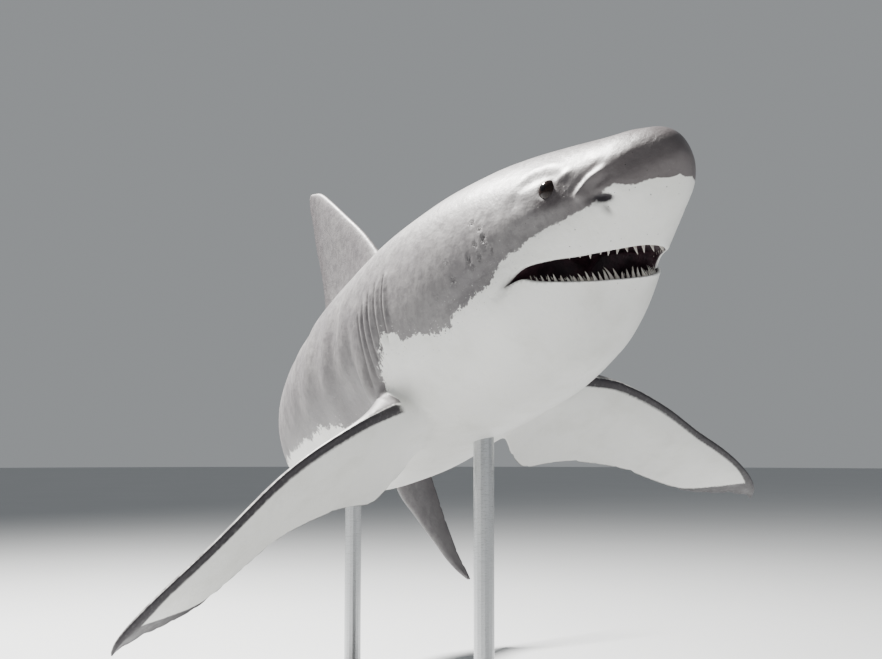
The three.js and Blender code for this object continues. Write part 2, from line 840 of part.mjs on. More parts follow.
function rodSolid() {

	const rod = new THREE.CylinderGeometry( ROD_RADIUS, ROD_RADIUS, ROD_TOP, ROD_SIDES );
	rod.rotateX( Math.PI / 2 );
	return rod.translate( 0, 0, ROD_TOP / 2 + BASE_SIZE.height + GAP );

}

function collarGeometry() {

	const inner = ROD_RADIUS + GAP;
	const foot = BASE_SIZE.height + GAP;
	const profile = [
		[ inner, foot ],
		[ COLLAR.radius, foot ],
		[ COLLAR.radius, foot + COLLAR.height - COLLAR.bevel ],
		[ COLLAR.radius - COLLAR.bevel, foot + COLLAR.height ],
		[ inner, foot + COLLAR.height ],
		[ inner, foot ],
	].map( ( [ radius, height ] ) => new THREE.Vector2( radius, height ) );
	return new THREE.LatheGeometry( profile, ROD_SIDES ).rotateX( Math.PI / 2 );

}

stand.add( named( 'stand_base', baseSolid(), COLOURS.base, 0.5 ) );
for ( const [ place, station ] of Object.entries( ROD_STATIONS ) ) {

	const foot = bellyPlace( station );
	const rod = solid( shaped( rodSolid().translate( foot.x, foot.y, 0 ), unmoved ) ).subtract( placedBody );
	const collar = solid( shaped( collarGeometry().translate( foot.x, foot.y, 0 ), unmoved ) );
	stand.add( named( `stand_rod_${ place }`, rod, COLOURS.rod, 0.3, 1 ) );
	stand.add( named( `stand_collar_${ place }`, collar, COLOURS.rod, 0.3, 1 ) );

}

const group = new THREE.Group();
group.add( shark );
group.add( stand );

export default group;
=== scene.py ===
import math

import bmesh
import bpy
import numpy as np
from mathutils import Matrix, Vector


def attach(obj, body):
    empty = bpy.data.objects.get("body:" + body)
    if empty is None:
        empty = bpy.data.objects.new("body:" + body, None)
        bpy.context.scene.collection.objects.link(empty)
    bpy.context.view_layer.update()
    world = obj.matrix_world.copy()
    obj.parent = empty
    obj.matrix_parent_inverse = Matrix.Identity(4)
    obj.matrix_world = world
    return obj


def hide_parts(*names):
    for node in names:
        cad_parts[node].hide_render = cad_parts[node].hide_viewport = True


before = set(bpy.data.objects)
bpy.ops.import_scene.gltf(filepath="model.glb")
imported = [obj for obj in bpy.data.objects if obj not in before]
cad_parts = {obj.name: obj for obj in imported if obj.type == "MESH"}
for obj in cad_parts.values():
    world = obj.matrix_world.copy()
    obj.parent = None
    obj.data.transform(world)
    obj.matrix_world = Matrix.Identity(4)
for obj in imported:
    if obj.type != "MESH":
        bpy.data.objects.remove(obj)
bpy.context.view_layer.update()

bl_info = {
    "name": "Great White Shark on a Stand",
    "version": (1, 0, 0),
    "blender": (4, 5, 0),
    "location": "View3D > Sidebar > Shark",
    "description": "Skins, teeth, eyes, stand and studio for a life-size display shark",
    "category": "Add Mesh",
}

MM = 0.001

# ---------------------------------------------------------------------------
# The shark's lines, in millimetres, in its own frame: the tip of the snout is the origin, +X points
# ahead of the snout, +Y to the shark's left and +Z to its back. A station is the distance back from
# the snout along the spine, and an elevation is the angle above the shark's side, in degrees.
# ---------------------------------------------------------------------------

NOSE_UP = math.radians(14.8)
BANK = math.radians(8.0)
SNOUT_PLACE = Vector((1330, -95, 1330))

BODY_LINES = (  # station, back, belly, half width
    (0, 86, 42, 54),
    (60, 85, 62, 79),
    (122, 99, 87, 104),
    (280, 147, 157, 163),
    (385, 178, 224, 194),
    (490, 203, 271, 221),
    (700, 236, 296, 255),
    (980, 257, 293, 274),
    (1260, 259, 299, 271),
    (1540, 242, 281, 248),
    (1820, 218, 240, 208),
    (2100, 178, 190, 163),
    (2380, 134, 136, 124),
    (2660, 85, 81, 92),
    (2870, 56, 52, 74),
    (3010, 48, 45, 52),
    (3160, 36, 34, 20),
)
BODY_LENGTH = 3160
SNOUT_ROUND = 104
STEM_ROUND = 60
KEEL_START = 2450
KEEL_FULL = 2760
KEEL_POWER = 1.5
ROUND_POWER = 0.96

SPINE_TURN = (  # station, turn to the left in radians
    (0, 0),
    (420, 0),
    (1050, 0.042),
    (1575, 0.05),
    (2100, 0.266),
    (2625, 0.695),
    (3150, 1.267),
    (3500, 1.267),
)
SPINE_STEP = 10

# How far apart the rings of the skin lie, from the snout to the tail stem.
RING_SPACING = (
    (0, 3),
    (60, 5),
    (122, 5),
    (480, 5),
    (570, 9),
    (740, 9),
    (785, 4.5),
    (975, 4.5),
    (1030, 11),
    (1400, 13),
    (2600, 13),
    (3160, 8),
)
SKIN_COLUMNS = 176

# Fins: distance out along the span, then the front and rear edges there.
FIN_EDGE = 3.0
PECTORAL_OUTLINE = (
    (-165, -28, 215),
    (-108, -14, 280),
    (-40, -4, 350),
    (6, 0, 376),
    (60, 3, 348),
    (125, 16, 322),
    (250, 56, 315),
    (400, 122, 342),
    (515, 168, 360),
    (600, 210, 350),
    (680, 262, 334),
    (722, 304, 334),
    (736, 338, 346),
)
PECTORAL_ROOT = (855, 276, -202)
PECTORAL_POSE = {  # droop, sweep and twist in degrees, bow in millimetres
    1: (15.6, 2.6, 22.7, 0),
    -1: (20.0, -0.2, 26.6, 19),
}
PELVIC_OUTLINE = (
    (-60, -10, 130),
    (-10, 0, 196),
    (14, 10, 214),
    (45, 34, 200),
    (90, 72, 186),
    (128, 112, 178),
    (145, 146, 164),
)
PELVIC_ROOT = (1935, 128, -138)
PELVIC_POSE = (18.0, 0.0, 4.0, 0)
BOW_SPAN = 0.76
FIRST_DORSAL_OUTLINE = (
    (190, 1190, 1600),
    (245, 1240, 1715),
    (275, 1262, 1765),
    (300, 1280, 1800),
    (322, 1296, 1812),
    (350, 1320, 1793),
    (425, 1384, 1768),
    (520, 1480, 1758),
    (600, 1562, 1738),
    (650, 1622, 1733),
    (676, 1684, 1716),
)
SECOND_DORSAL_OUTLINE = (
    (70, 2478, 2530),
    (118, 2500, 2590),
    (132, 2512, 2618),
    (150, 2530, 2600),
    (172, 2556, 2590),
    (180, 2572, 2582),
)
ANAL_OUTLINE = (
    (-166, 2636, 2648),
    (-158, 2622, 2654),
    (-136, 2596, 2664),
    (-118, 2578, 2680),
    (-104, 2566, 2656),
    (-62, 2548, 2600),
)
TAIL_OUTLINE = (
    (-480, 3250, 3262),
    (-434, 3199, 3249),
    (-385, 3160, 3231),
    (-322, 3122, 3218),
    (-203, 3048, 3200),
    (-119, 2992, 3192),
    (-46, 2966, 3184),
    (20, 2964, 3184),
    (80, 2990, 3200),
    (175, 3096, 3243),
    (280, 3212, 3312),
    (385, 3336, 3385),
    (455, 3418, 3448),
    (520, 3488, 3498),
)

# Mouth, in the side view: the corner, the lines of both lips and the planes they are cut along.
MOUTH_CORNER = (-413, -97)
UPPER_LIP = (
    (-413, -97),
    (-350, -79),
    (-298, -87),
    (-245, -101),
    (-192, -110),
    (-100, -124),
)
LOWER_LIP = (
    (-413, -97),
    (-388, -96.5),
    (-370, -98),
    (-350, -111.6),
    (-298, -138.5),
    (-150, -199.6),
)
UPPER_LIP_SLOPE = -0.0588
LOWER_LIP_SLOPE = -0.39

EYE_STATION = 245
EYE_HEIGHT = 38
EYE_RADIUS = 23
EYE_SINK = 13

GILL_SLITS = (  # station at the middle, upper and lower elevation, depth
    (808, 20, -11, 9.0),
    (850, 19, -14, 6.0),
    (887, 17, -17, 6.5),
    (920, 14, -21, 5.5),
    (950, 10, -27, 5.5),
)
GILL_LEAN = 26
GILL_ENDS = (-0.06, 0.1, 0.9, 1.06)  # shares of a slit's length where it opens and closes
GILL_GROOVE = (1, 4.2, 2.4)  # place across the slit, half width and how square the groove is
GILL_FLAP = (-13, 9.0, 0.45)  # place across the slit, half width and height of the flap ahead of it
GILL_LEE = (12, 8.0, -0.2)  # the same for the shallow dip behind it
GILL_RINGS = (700, 790, 970, 1080)  # stations where the skin's rings start and stop leaning

# Upright folds of the flank: where they fade in and out, their lean, and height and pitch.
FOLD_START = (985, 1040)
FOLD_END = (1350, 1800)
FOLD_BOTTOM = (-42, -15)
FOLD_TOP = (20, 55)
FOLD_LEAN = 0.55
FINE_FOLD = (0.6, 6.5)
FINE_FOLD_END = (1080, 1220)
BROAD_FOLD = (4.0, 27.0)

SOCKET_RIM = (0.7, 25, 5.0)  # height, radius and width of the raised rim round the eye
SOCKET_DENT = (3.0, 17.0)  # depth and radius of the hollow the eye lies in
SNOUT_SMOOTH = (8, 60)  # stations where the relief fades in
TAIL_SMOOTH = (2400, 2800)  # stations where it fades out

# The mouth's lining, ring by ring: how far in from the lip's rim, and how far away from the gap
# above and below it. A distance of one or less is a share of the way to the middle of the mouth.
LIP_ROLL = (
    (3.0, -1.6, -1.6),
    (6.5, -1.8, -1.2),
    (10.0, 1.0, 2.5),
    (13.0, 5.0, 1.0),
    (17.0, 7.0, -4.0),
    (23.0, 9.0, -2.0),
    (31.0, 12.0, 8.0),
    (0.35, 18.0, 14.0),
    (0.55, 24.0, 18.0),
    (0.75, 24.0, 20.0),
    (0.92, 12.0, 12.0),
)
LIP_RINGS_OF_SKIN = 2
LIP_SHARE = 0.3
MOUTH_MIDDLE = -390
MOUTH_FRONT = -120
SNOUT_FADE = (-214, -150)  # how far ahead of the mouth the upper lip's line reaches
MIDDLE_FADE = (8, 60)  # how far from the middle the skin starts to slide sideways
CUT_MARGIN = (20, 60)  # how far behind and above the mouth's corner the skin is cut
LIP_SLACK = 0.5
UPPER_LIP_REACH = 50  # how far above and below the lips the skin follows their lines
LOWER_LIP_REACH = 60
OPEN_GAPE = 30  # gape at which the lips have their full roll
UPPER_DRIFT = 0.4
JAW_SKIN = 12  # what the lining leaves of the lower jaw above its underside
RIM_MERGE = 1.2
SKIN_INDEX = 0
MOUTH_INDEX = 1

# Blades: outline, thickness, points round a section, sections, depth of the nicks behind and
# height of the muscle over the root.
PECTORAL = (PECTORAL_OUTLINE, 46, 64, 120, 7.0, 42)
PELVIC = (PELVIC_OUTLINE, 24, 40, 36, 1.5, 0)
FIRST_DORSAL = (FIRST_DORSAL_OUTLINE, 46, 56, 64, 5.0, 0)
SECOND_DORSAL = (SECOND_DORSAL_OUTLINE, 14, 28, 28, 1.0, 0)
ANAL = (ANAL_OUTLINE, 14, 28, 24, 1.0, 0)
TAIL = (TAIL_OUTLINE, 40, 48, 110, 4.0, 0)
TIP_CROWDING = 0.7  # how much closer a blade's sections lie at both ends
BLADE_NOSE = 0.28  # share of the chord that the rounded front edge takes
BLADE_THINNING = (0.2, 1.05)  # shares of the chord between which a blade thins to its edge

# The foot of a blade swells into the body: height and reach for a blade of the given thickness,
# shift of the front edge, and shares of the chord where the swelling starts and ends.
FLARE = 34
FLARE_REACH = 48
FLARE_THICKNESS = 46
FLARE_SHIFT = 1.1
FLARE_FRONT = 0.15
FLARE_THINNING = 0.8
FLARE_SHIFT_END = 0.5
CREST_REACH = 105
CREST_SHARES = (0.1, 0.75)

# Which part of the skin is rounded where a fin meets it, and how much.
ROOT_AHEAD = 30
ROOT_BEHIND = 25
ROOT_ASIDE = 85
ROOT_WIDTH = 46
ROOT_MERGE = 1.2
ROOT_SMOOTHING = 24

# Where the grey of the back ends: station and elevation.
BORDER_LINE = (
    (0, -115),
    (24, -100),
    (33, -78),
    (45, -47),
    (77, -28),
    (109, -12),
    (130, -12),
    (165, -18),
    (203, -16),
    (309, -12),
    (381, -13),
    (455, -17),
    (560, -19.5),
    (630, -22),
    (700, -19.5),
    (750, -17),
    (800, -12),
    (840, -10),
    (868, -12),
    (905, -22),
    (945, -33),
    (985, -40),
    (1100, -37),
    (1245, -30),
    (1400, -23),
    (1540, -22),
    (1750, -20),
    (2100, -15),
    (2450, -12),
    (2800, -5),
    (3160, -5),
)
RAGGEDNESS = (  # station, how ragged the border is
    (0, 0.1),
    (60, 0.2),
    (300, 0.35),
    (480, 0.8),
    (760, 1.1),
    (850, 1.9),
    (980, 1.9),
    (1080, 1.0),
    (3160, 1.0),
)
# Painted shade and black marks: station and elevation, half length and half width, strength, slant.
PAINTED_SHADE_PATCHES = (
    ((212, 4), (34, 26), 0.6, 20),      # ahead of the eye
    ((150, -6), (24, 16), 0.7, 36),     # over the nostril
    ((143, -32), (6, 14), 0.8, 0),      # crease under the nostril
    ((398, -24), (30, 6), 0.9, 0),      # furrow behind the mouth's corner
)
BLACK_MARKS_AND_SHADE = (
    ((139, -19), (24, 10), 1.15, 36),   # painted shade in the nostril's pit
    ((955, -32), (17, 38), 0.46, 0),    # ragged dark marks at the foot of the last gill slit, partly painted shade ahead of the pectoral fin's root
)
EYE_SHADE_PATCH = (42, 40, 3)  # half length, half width and droop in degrees of the painted shade round the eye
FIN_AREA = (40, 30, 80, 5)  # how far ahead, behind, aside and past the ends a fin's marks reach
FIN_START = (-4, 34)  # distances off the body between which the fin's own marks take over
FIN_FRAY = 0.15
FIN_GREY = 60.0
CREST_SETBACK = (37, 48)  # the band starts this far behind the front edge at the root, and how fast less
UNDER_BAND = 19  # width of the dark band along the front edge of a pectoral fin's underside
UNDER_RIM = (2, 70)  # width of the dark rim behind, at the root and what the tip adds
UNDER_BLACK = 0.75
PELVIC_SCALE = 0.4  # width of the pelvic fins' marks beside the pectoral fins'
REAR_EDGE = (2, 16)
REAR_SHADE = (10, 110)

SLATE_LIGHT = (0.205, 0.195, 0.195, 1.0)
SLATE = (0.140, 0.131, 0.136, 1.0)
SLATE_DARK = (0.080, 0.074, 0.079, 1.0)
# Painted shade round the eye, over the nostril and in the head's creases; the unpaired fins are also
# darkened with it towards their rear edges.
PAINTED_SHADE_BROWN = (0.040, 0.032, 0.035, 1.0)
SNOUT_BROWN = (0.085, 0.070, 0.072, 1.0)
BELLY_WHITE = (0.79, 0.79, 0.76, 1.0)
BELLY_STAIN = (0.66, 0.66, 0.61, 1.0)
# Black of the fins' tips and edges and of the pores, and the painted shade in the nostrils and at the
# foot of the last gill slit.
BLACK_AND_PAINTED_SHADE = (0.026, 0.022, 0.027, 1.0)
# Pale of healed scars and scratches, also painted highlight on the scars' flecks.
PALE_SCAR_AND_HIGHLIGHT = (0.50, 0.49, 0.48, 1.0)
# The mouth's lining is painted near black as painted shade of the inside of the mouth.
MOUTH_SHADE_DARK = (0.020, 0.009, 0.014, 1.0)
MOUTH_SHADE_FLESH = (0.060, 0.028, 0.038, 1.0)
TOOTH_WHITE = (0.70, 0.68, 0.62, 1.0)
TOOTH_STAIN = (0.52, 0.48, 0.42, 1.0)
PUPIL_BLACK = (0.003, 0.003, 0.004, 1.0)
IRIS_DARK = (0.008, 0.005, 0.005, 1.0)
IRIS_BROWN = (0.020, 0.012, 0.010, 1.0)
BASE_DARK = (0.020, 0.018, 0.017, 1.0)
BASE_LIGHT = (0.045, 0.038, 0.033, 1.0)
STEEL_DARK = (0.42, 0.43, 0.44, 1.0)
STEEL_LIGHT = (0.62, 0.63, 0.64, 1.0)
FLOOR_PALE = (0.47, 0.48, 0.49, 1.0)
FLOOR_PALER = (0.51, 0.52, 0.53, 1.0)
ROOM_COLOUR = (0.86, 0.90, 0.93, 1.0)

FLOOR_RADIUS = 40
IMAGE_WIDTH = 882
CAMERA_FOCAL = 1298.8  # in pixels of that width
CAMERA_PLACE = (3.2407, -1.5259, 0.7934)
CAMERA_AHEAD = (-0.89467, 0.43820, 0.08689)
CAMERA_RIGHT = (0.43990, 0.89804, 0.00064)
CAMERA_SENSOR = 36
CAMERA_REACH = 200
LIGHT_TARGET = (0.3, 0.0, 1.1)
KEY_PLACE = (-2.6, -1.7, 5.4)
KEY_SIZE = 0.9
KEY_COLOUR = (1.0, 0.98, 0.94)
FILL_PLACE = (4.6, 1.8, 1.8)
FILL_SIZE = 3.0
FILL_COLOUR = (0.93, 0.97, 1.0)

TOOTH_INSET = 13
TOOTH_SIDES = 12
TOOTH_CUTS = 6
TOOTH_FLATNESS = 0.38
TOOTH_WAIST = 0.12  # how much a tooth narrows half way up
TOOTH_POINT = 0.02  # width left at the point
LAST_TOOTH = 0.42  # size of the last tooth beside the first
LAST_PLACE = 0.985
ARCH_STEPS = 24
UPPER_TOOTH = {
    "height": 19,
    "width": 14,
    "first": 226,
    "last": 372,
    "count": 12,
    "shape": 0.85,
    "sink": 4,
    "root": 6,
    "seed": 3,
    "uneven": 0.08,
    "rows": ((0, 0, 1.0),),
}
LOWER_TOOTH = {
    "height": 25,
    "width": 12,
    "first": 285,
    "last": 368,
    "count": 15,
    "shape": 0.8,
    "sink": 0,
    "root": 3,
    "seed": 8,
    "uneven": 0.18,
    "rows": ((0, 0, 1.0), (0.45, 7, 0.85), (0.2, 13, 0.7)),
}


# ---------------------------------------------------------------------------
# Curves, spine and body surface
# ---------------------------------------------------------------------------

def smooth_through(rows, column=1):
    """A smooth function through rising knots, with no overshoot between them."""
    xs = np.array([row[0] for row in rows], float)
    ys = np.array([row[column] for row in rows], float)
    slopes = np.diff(ys) / np.diff(xs)
    before, after = slopes[:-1], slopes[1:]
    total = np.where(before * after > 0, before + after, 1)
    inner = np.where(before * after > 0, 2 * before * after / total, 0)
    tangents = np.concatenate([slopes[:1], inner, slopes[-1:]])

    def at(x):
        x = np.clip(np.asarray(x, float), xs[0], xs[-1])
        i = np.clip(np.searchsorted(xs, x, side="right") - 1, 0, len(xs) - 2)
        width = xs[i + 1] - xs[i]
        t = (x - xs[i]) / width
        rise = t * t * (3 - 2 * t)
        start = t * (1 - t) ** 2 * width * tangents[i]
        end = t * t * (t - 1) * width * tangents[i + 1]
        return ys[i] * (1 - rise) + ys[i + 1] * rise + start + end

    return at


def smoothstep(x, low, high):
    t = np.clip((np.asarray(x, float) - low) / (high - low), 0, 1)
    return t * t * (3 - 2 * t)


back_at = smooth_through(BODY_LINES, 1)
belly_at = smooth_through(BODY_LINES, 2)
half_at = smooth_through(BODY_LINES, 3)
turn_at = smooth_through(SPINE_TURN)

SPINE_STATIONS = np.arange(0, SPINE_TURN[-1][0] + SPINE_STEP, SPINE_STEP, dtype=float)
_turns = turn_at(SPINE_STATIONS[:-1] + SPINE_STEP / 2)
_steps = np.stack([-np.cos(_turns), np.sin(_turns)], 1) * SPINE_STEP
SPINE_POINTS = np.concatenate([np.zeros((1, 2)), np.cumsum(_steps, 0)])


def beside(station, side, height):
    """Points beside the spine: "side" to the shark's left and "height" above it."""
    station = np.asarray(station, float)
    index = np.clip((station // SPINE_STEP).astype(int), 0, len(SPINE_POINTS) - 2)
    part = (station / SPINE_STEP - index)[..., None]
    centre = SPINE_POINTS[index] * (1 - part) + SPINE_POINTS[index + 1] * part
    turn = turn_at(station)
    x = centre[..., 0] + side * np.sin(turn)
    y = centre[..., 1] + side * np.cos(turn)
    return np.stack(np.broadcast_arrays(x, y, height), -1)


def locate(points):
    """The station, side and height of points: the inverse of beside()."""
    flat = points[:, :2]
    nearest = np.empty(len(flat), int)
    for start in range(0, len(flat), 20000):
        chunk = flat[start:start + 20000]
        gap = chunk[:, None, :] - SPINE_POINTS[None, :, :]
        nearest[start:start + 20000] = (gap ** 2).sum(-1).argmin(1)
    offset = flat - SPINE_POINTS[nearest]
    turn = turn_at(SPINE_STATIONS[nearest])
    along = -offset[:, 0] * np.cos(turn) + offset[:, 1] * np.sin(turn)
    side = offset[:, 0] * np.sin(turn) + offset[:, 1] * np.cos(turn)
    return SPINE_STATIONS[nearest] + along, side, points[:, 2]


def end_rounding(station):
    from_snout = np.clip(station / SNOUT_ROUND, 0, 1)
    from_stem = np.clip((BODY_LENGTH - station) / STEM_ROUND, 0, 1)
    return np.sqrt(1 - (1 - from_snout) ** 2) * np.sqrt(1 - (1 - from_stem) ** 2)


def section(station, angle):
    """The body's section at an angle from its left side, as side and height from the spine."""
    power = ROUND_POWER + (KEEL_POWER - ROUND_POWER) * smoothstep(station, KEEL_START, KEEL_FULL)
    cos, sin = np.cos(angle), np.sin(angle)
    reach = np.where(sin > 0, back_at(station), belly_at(station))
    rounding = end_rounding(station)
    side = half_at(station) * rounding * np.sign(cos) * np.abs(cos) ** power
    height = reach * rounding * np.sign(sin) * np.abs(sin) ** power
    return side, height


def above_skin(points):
    """Rough distance of points outside the body's surface, below zero inside it."""
    station, side, height = locate(points)
    rounding = np.maximum(end_rounding(np.clip(station, 1, BODY_LENGTH - 1)), 0.05)
    half = half_at(station) * rounding
    reach = np.where(height > 0, back_at(station), belly_at(station)) * rounding
    ratio = np.hypot(side / half, height / reach)
    radius = np.hypot(side, height) / np.maximum(ratio, 1e-6)
    return (ratio - 1) * radius


def world_matrix():
    turned = Matrix.Rotation(-NOSE_UP, 4, "Y") @ Matrix.Rotation(BANK, 4, "X")
    return Matrix.Translation(SNOUT_PLACE * MM) @ turned @ Matrix.Scale(MM, 4)


# ---------------------------------------------------------------------------
# Relief of the skin
# ---------------------------------------------------------------------------

def bump(station, elevation, at, size, height, slant=0.0):
    """A soft oval swelling, or a dent where height is below zero. "size" is its half length along
    the body and half width round it, and slant turns it, in degrees, rear end up."""
    girth = float(half_at(at[0]))
    along = station - at[0]
    round_ = np.radians(elevation - at[1]) * girth
    turn = math.radians(slant)
    u = along * math.cos(turn) + round_ * math.sin(turn)
    v = -along * math.sin(turn) + round_ * math.cos(turn)
    return height * np.exp(-(u / size[0]) ** 2 - (v / size[1]) ** 2)


SWELLINGS = (  # station and elevation, half length and half width, height, slant
    ((311, 22), (24, 16), 4.0, 0),       # behind the eye
    ((203, 22), (24, 12), 4.5, -20),     # ahead of the eye
    ((262, -8), (70, 16), -3.0, 6),      # hollow under the eye
    ((340, 4), (60, 30), 2.5, 0),        # cheek
    ((173, -3), (17, 12), 4.5, 50),      # flap of the nostril
    ((140, -17), (24, 11), -13.0, 36),   # nostril
    ((143, -33), (5, 13), -4.0, 0),      # crease under the nostril
    ((440, -30), (85, 50), 8.0, 0),      # jaw muscle
    ((500, -13), (130, 14), -3.5, -4),   # crease above the jaw muscle
    ((428, -25), (26, 5), -5.0, 8),      # furrow behind the mouth's corner
    ((1010, -34), (50, 60), 9.0, 0),     # shoulder over the pectoral fin
    ((985, -24), (40, 62), 13.0, 0),     # ridge from the shoulder up to the gills
    ((945, -34), (50, 45), 9.0, 0),      # flesh ahead of the pectoral fin's root
    ((1105, -24), (60, 55), -9.0, 0),    # hollow behind the shoulder
    ((760, -30), (60, 60), 5.0, 0),      # throat below the gills
    ((560, 40), (220, 60), 4.0, 0),      # crown behind the eyes
)

# Ridges and grooves along a line: its knots, then rows of how far off the line (above it is above
# zero), how wide and how high.
STROKES = (
    (  # brow
        ((345, 14), (315, 27), (285, 34), (255, 34), (225, 29), (197, 19), (160, 13)),
        ((15, 19, 2.8), (-9, 15, -3.4)),
    ),
    (  # ridge that runs up from the nostril's flap
        ((183, -8), (165, 1), (145, 7), (118, 11), (93, 14)),
        ((0, 9, 6.0), (18, 10, -3.0), (-18, 10, -4.0)),
    ),
    (  # edge between the snout's top and its side
        ((121, 12), (77, 15), (45, 24), (24, 50)),
        ((10, 16, 1.8), (-12, 14, -1.5)),
    ),
)

SCARS = (  # on the right cheek: station, elevation, half size and depth
    (447, 17, 6, 3.0),
    (425, 11, 5, 3.0),
    (419, 4, 7, 3.5),
    (443, 3, 6, 3.0),
    (415, 0, 5, 2.5),
    (471, -3, 7, 3.0),
    (465, -7, 5, 2.5),
    (441, -4, 6, 3.0),
    (405, -4, 5, 2.0),
    (541, 3, 6, 2.5),
    (533, -7, 7, 2.5),
    (599, -9, 5, 2.0),
    (605, -23, 5, 1.5),
)


def off_line(station, elevation, knots):
    """Signed distance from a line of (station, elevation) knots, and how far along it, 0 to 1."""
    line = np.array(knots, float)
    girth = float(half_at(line[:, 0].mean()))
    line[:, 1] = np.radians(line[:, 1]) * girth
    here = np.stack([station, np.radians(elevation) * girth], -1)
    best = np.full(len(here), 1e9)
    signed = best.copy()
    share = np.zeros(len(here))
    for i, (start, end) in enumerate(zip(line, line[1:])):
        step = end - start
        part = np.clip((here - start) @ step / (step @ step), 0, 1)
        gap = here - start - part[:, None] * step
        distance = np.hypot(gap[:, 0], gap[:, 1])
        closer = distance < best
        best = np.where(closer, distance, best)
        above = step[1] * gap[:, 0] - step[0] * gap[:, 1]
        signed = np.where(closer, distance * np.where(above > 0, 1, -1), signed)
        share = np.where(closer, (i + part) / (len(line) - 1), share)
    return signed, share


def gill_grooves(station, elevation):
    """Five slits, each a groove behind a soft flap."""
    depth = np.zeros_like(station)
    for middle, top, bottom, deep in GILL_SLITS:
        down = (top - elevation) / (top - bottom)
        across = station - middle - GILL_LEAN * (np.clip(down, 0, 1) - 0.5)
        inside = smoothstep(down, *GILL_ENDS[:2]) * (1 - smoothstep(down, *GILL_ENDS[2:]))
        place, width, squareness = GILL_GROOVE
        profile = -np.exp(-(np.abs(across - place) / width) ** squareness)
        for place, width, height in (GILL_FLAP, GILL_LEE):
            profile += height * np.exp(-((across - place) / width) ** 2)
        depth += inside * deep * profile
    return depth


def flank_folds(station, elevation):
    """Soft upright folds behind the gills, fading along the flank."""
    window = smoothstep(station, *FOLD_START) * (1 - smoothstep(station, *FOLD_END))
    window = window * smoothstep(elevation, *FOLD_BOTTOM) * (1 - smoothstep(elevation, *FOLD_TOP))
    lean = station + FOLD_LEAN * elevation
    fine = np.sin(lean / FINE_FOLD[1] + 1.4 * np.sin(lean / 61.0))
    fine = fine * (1 - smoothstep(station, *FINE_FOLD_END))
    wander = 1.1 * np.sin(elevation / 14.0) + 0.8 * np.sin(lean / 90.0)
    broad = np.sin(lean / BROAD_FOLD[1] + wander)
    return window * (FINE_FOLD[0] * fine + BROAD_FOLD[0] * broad)


def eye_elevation():
    return math.degrees(math.asin(EYE_HEIGHT / float(back_at(EYE_STATION))))


def eye_socket(station, elevation):
    """A hollow for the eye, with a low rim round it."""
    girth = float(half_at(EYE_STATION))
    up = np.radians(elevation - eye_elevation()) * girth
    reach = np.hypot(station - EYE_STATION, up)
    rim_height, rim_radius, rim_width = SOCKET_RIM
    rim = rim_height * np.exp(-((reach - rim_radius) / rim_width) ** 2)
    return rim - SOCKET_DENT[0] * np.exp(-(reach / SOCKET_DENT[1]) ** 4)


def relief(station, elevation, right):
    """How far the skin stands off the plain body. The scars are on the right side only."""
    total = gill_grooves(station, elevation) + flank_folds(station, elevation)
    total = total + eye_socket(station, elevation)
    for knots, profile in STROKES:
        signed, share = off_line(station, elevation, knots)
        ends = smoothstep(share, 0, 0.12) * (1 - smoothstep(share, 0.45, 1))
        for off, width, height in profile:
            total += height * ends * np.exp(-((signed - off) / width) ** 2)
    for at, size, height, slant in SWELLINGS:
        total += bump(station, elevation, at, size, height, slant)
    for scar_station, scar_elevation, size, depth in SCARS:
        at = (scar_station, scar_elevation)
        pit = bump(station, elevation, at, (size, size), -2.4 * depth)
        rim = bump(station, elevation, at, (1.7 * size, 1.7 * size), 1.2 * depth)
        total += right * (pit + rim)
    return total * smoothstep(station, *SNOUT_SMOOTH)


# ---------------------------------------------------------------------------
# Mesh helpers
# ---------------------------------------------------------------------------

def vertex_array(bm):
    return np.array([vert.co for vert in bm.verts], float).reshape(-1, 3)


def set_vertices(bm, points):
    for vert, point in zip(bm.verts, points):
        vert.co = point


def mesh_object(name, bm):
    mesh = bpy.data.meshes.new(name)
    bm.to_mesh(mesh)
    bm.free()
    mesh.shade_smooth()
    piece = bpy.data.objects.new(name, mesh)
    bpy.context.scene.collection.objects.link(piece)
    return piece


def float_attribute(mesh, name, values):
    layer = mesh.attributes.new(name, "FLOAT", "POINT")
    layer.data.foreach_set("value", np.asarray(values, np.float32))


# ---------------------------------------------------------------------------
# Body
# ---------------------------------------------------------------------------

def ring_stations():
    """Stations of the skin's rings: finest over the head and the gills."""
    spacing_at = smooth_through(RING_SPACING)
    stations = [0.0, 0.8, 2.6]
    while stations[-1] < BODY_LENGTH - 12:
        stations.append(stations[-1] + float(spacing_at(stations[-1])))
    stations += [BODY_LENGTH - 3.0, float(BODY_LENGTH)]
    return np.array(stations)


def lean_with_gills(station, elevation):
    """Slides the rings so that they run along the gill slits."""
    top = np.mean([slit[1] for slit in GILL_SLITS])
    bottom = np.mean([slit[2] for slit in GILL_SLITS])
    down = np.clip((top - elevation) / (top - bottom), 0, 1)
    near = smoothstep(station, *GILL_RINGS[:2]) * (1 - smoothstep(station, *GILL_RINGS[2:]))
    return station + near * GILL_LEAN * (down - 0.5)


def elevation_of(angle):
    """The angle above the shark's side, in degrees, for either side."""
    return np.degrees(np.arcsin(np.clip(np.sin(angle), -1, 1)))


def body_shell():
    """The plain body as one closed shell, from a sphere whose rings are moved to the stations."""
    stations = ring_stations()
    bm = bmesh.new()
    bmesh.ops.create_uvsphere(bm, u_segments=SKIN_COLUMNS, v_segments=len(stations) - 1, radius=1)
    points = vertex_array(bm)
    ring = np.arccos(np.clip(points[:, 2], -1, 1)) / math.pi * (len(stations) - 1)
    angle = np.arctan2(points[:, 1], points[:, 0])
    on_ring = np.hypot(points[:, 0], points[:, 1]) > 1e-6
    station = stations[np.rint(ring).astype(int)]
    station = np.where(on_ring, lean_with_gills(station, elevation_of(angle)), station)
    side, height = section(station, angle)
    set_vertices(bm, beside(station, side * on_ring, height * on_ring))
    return bm


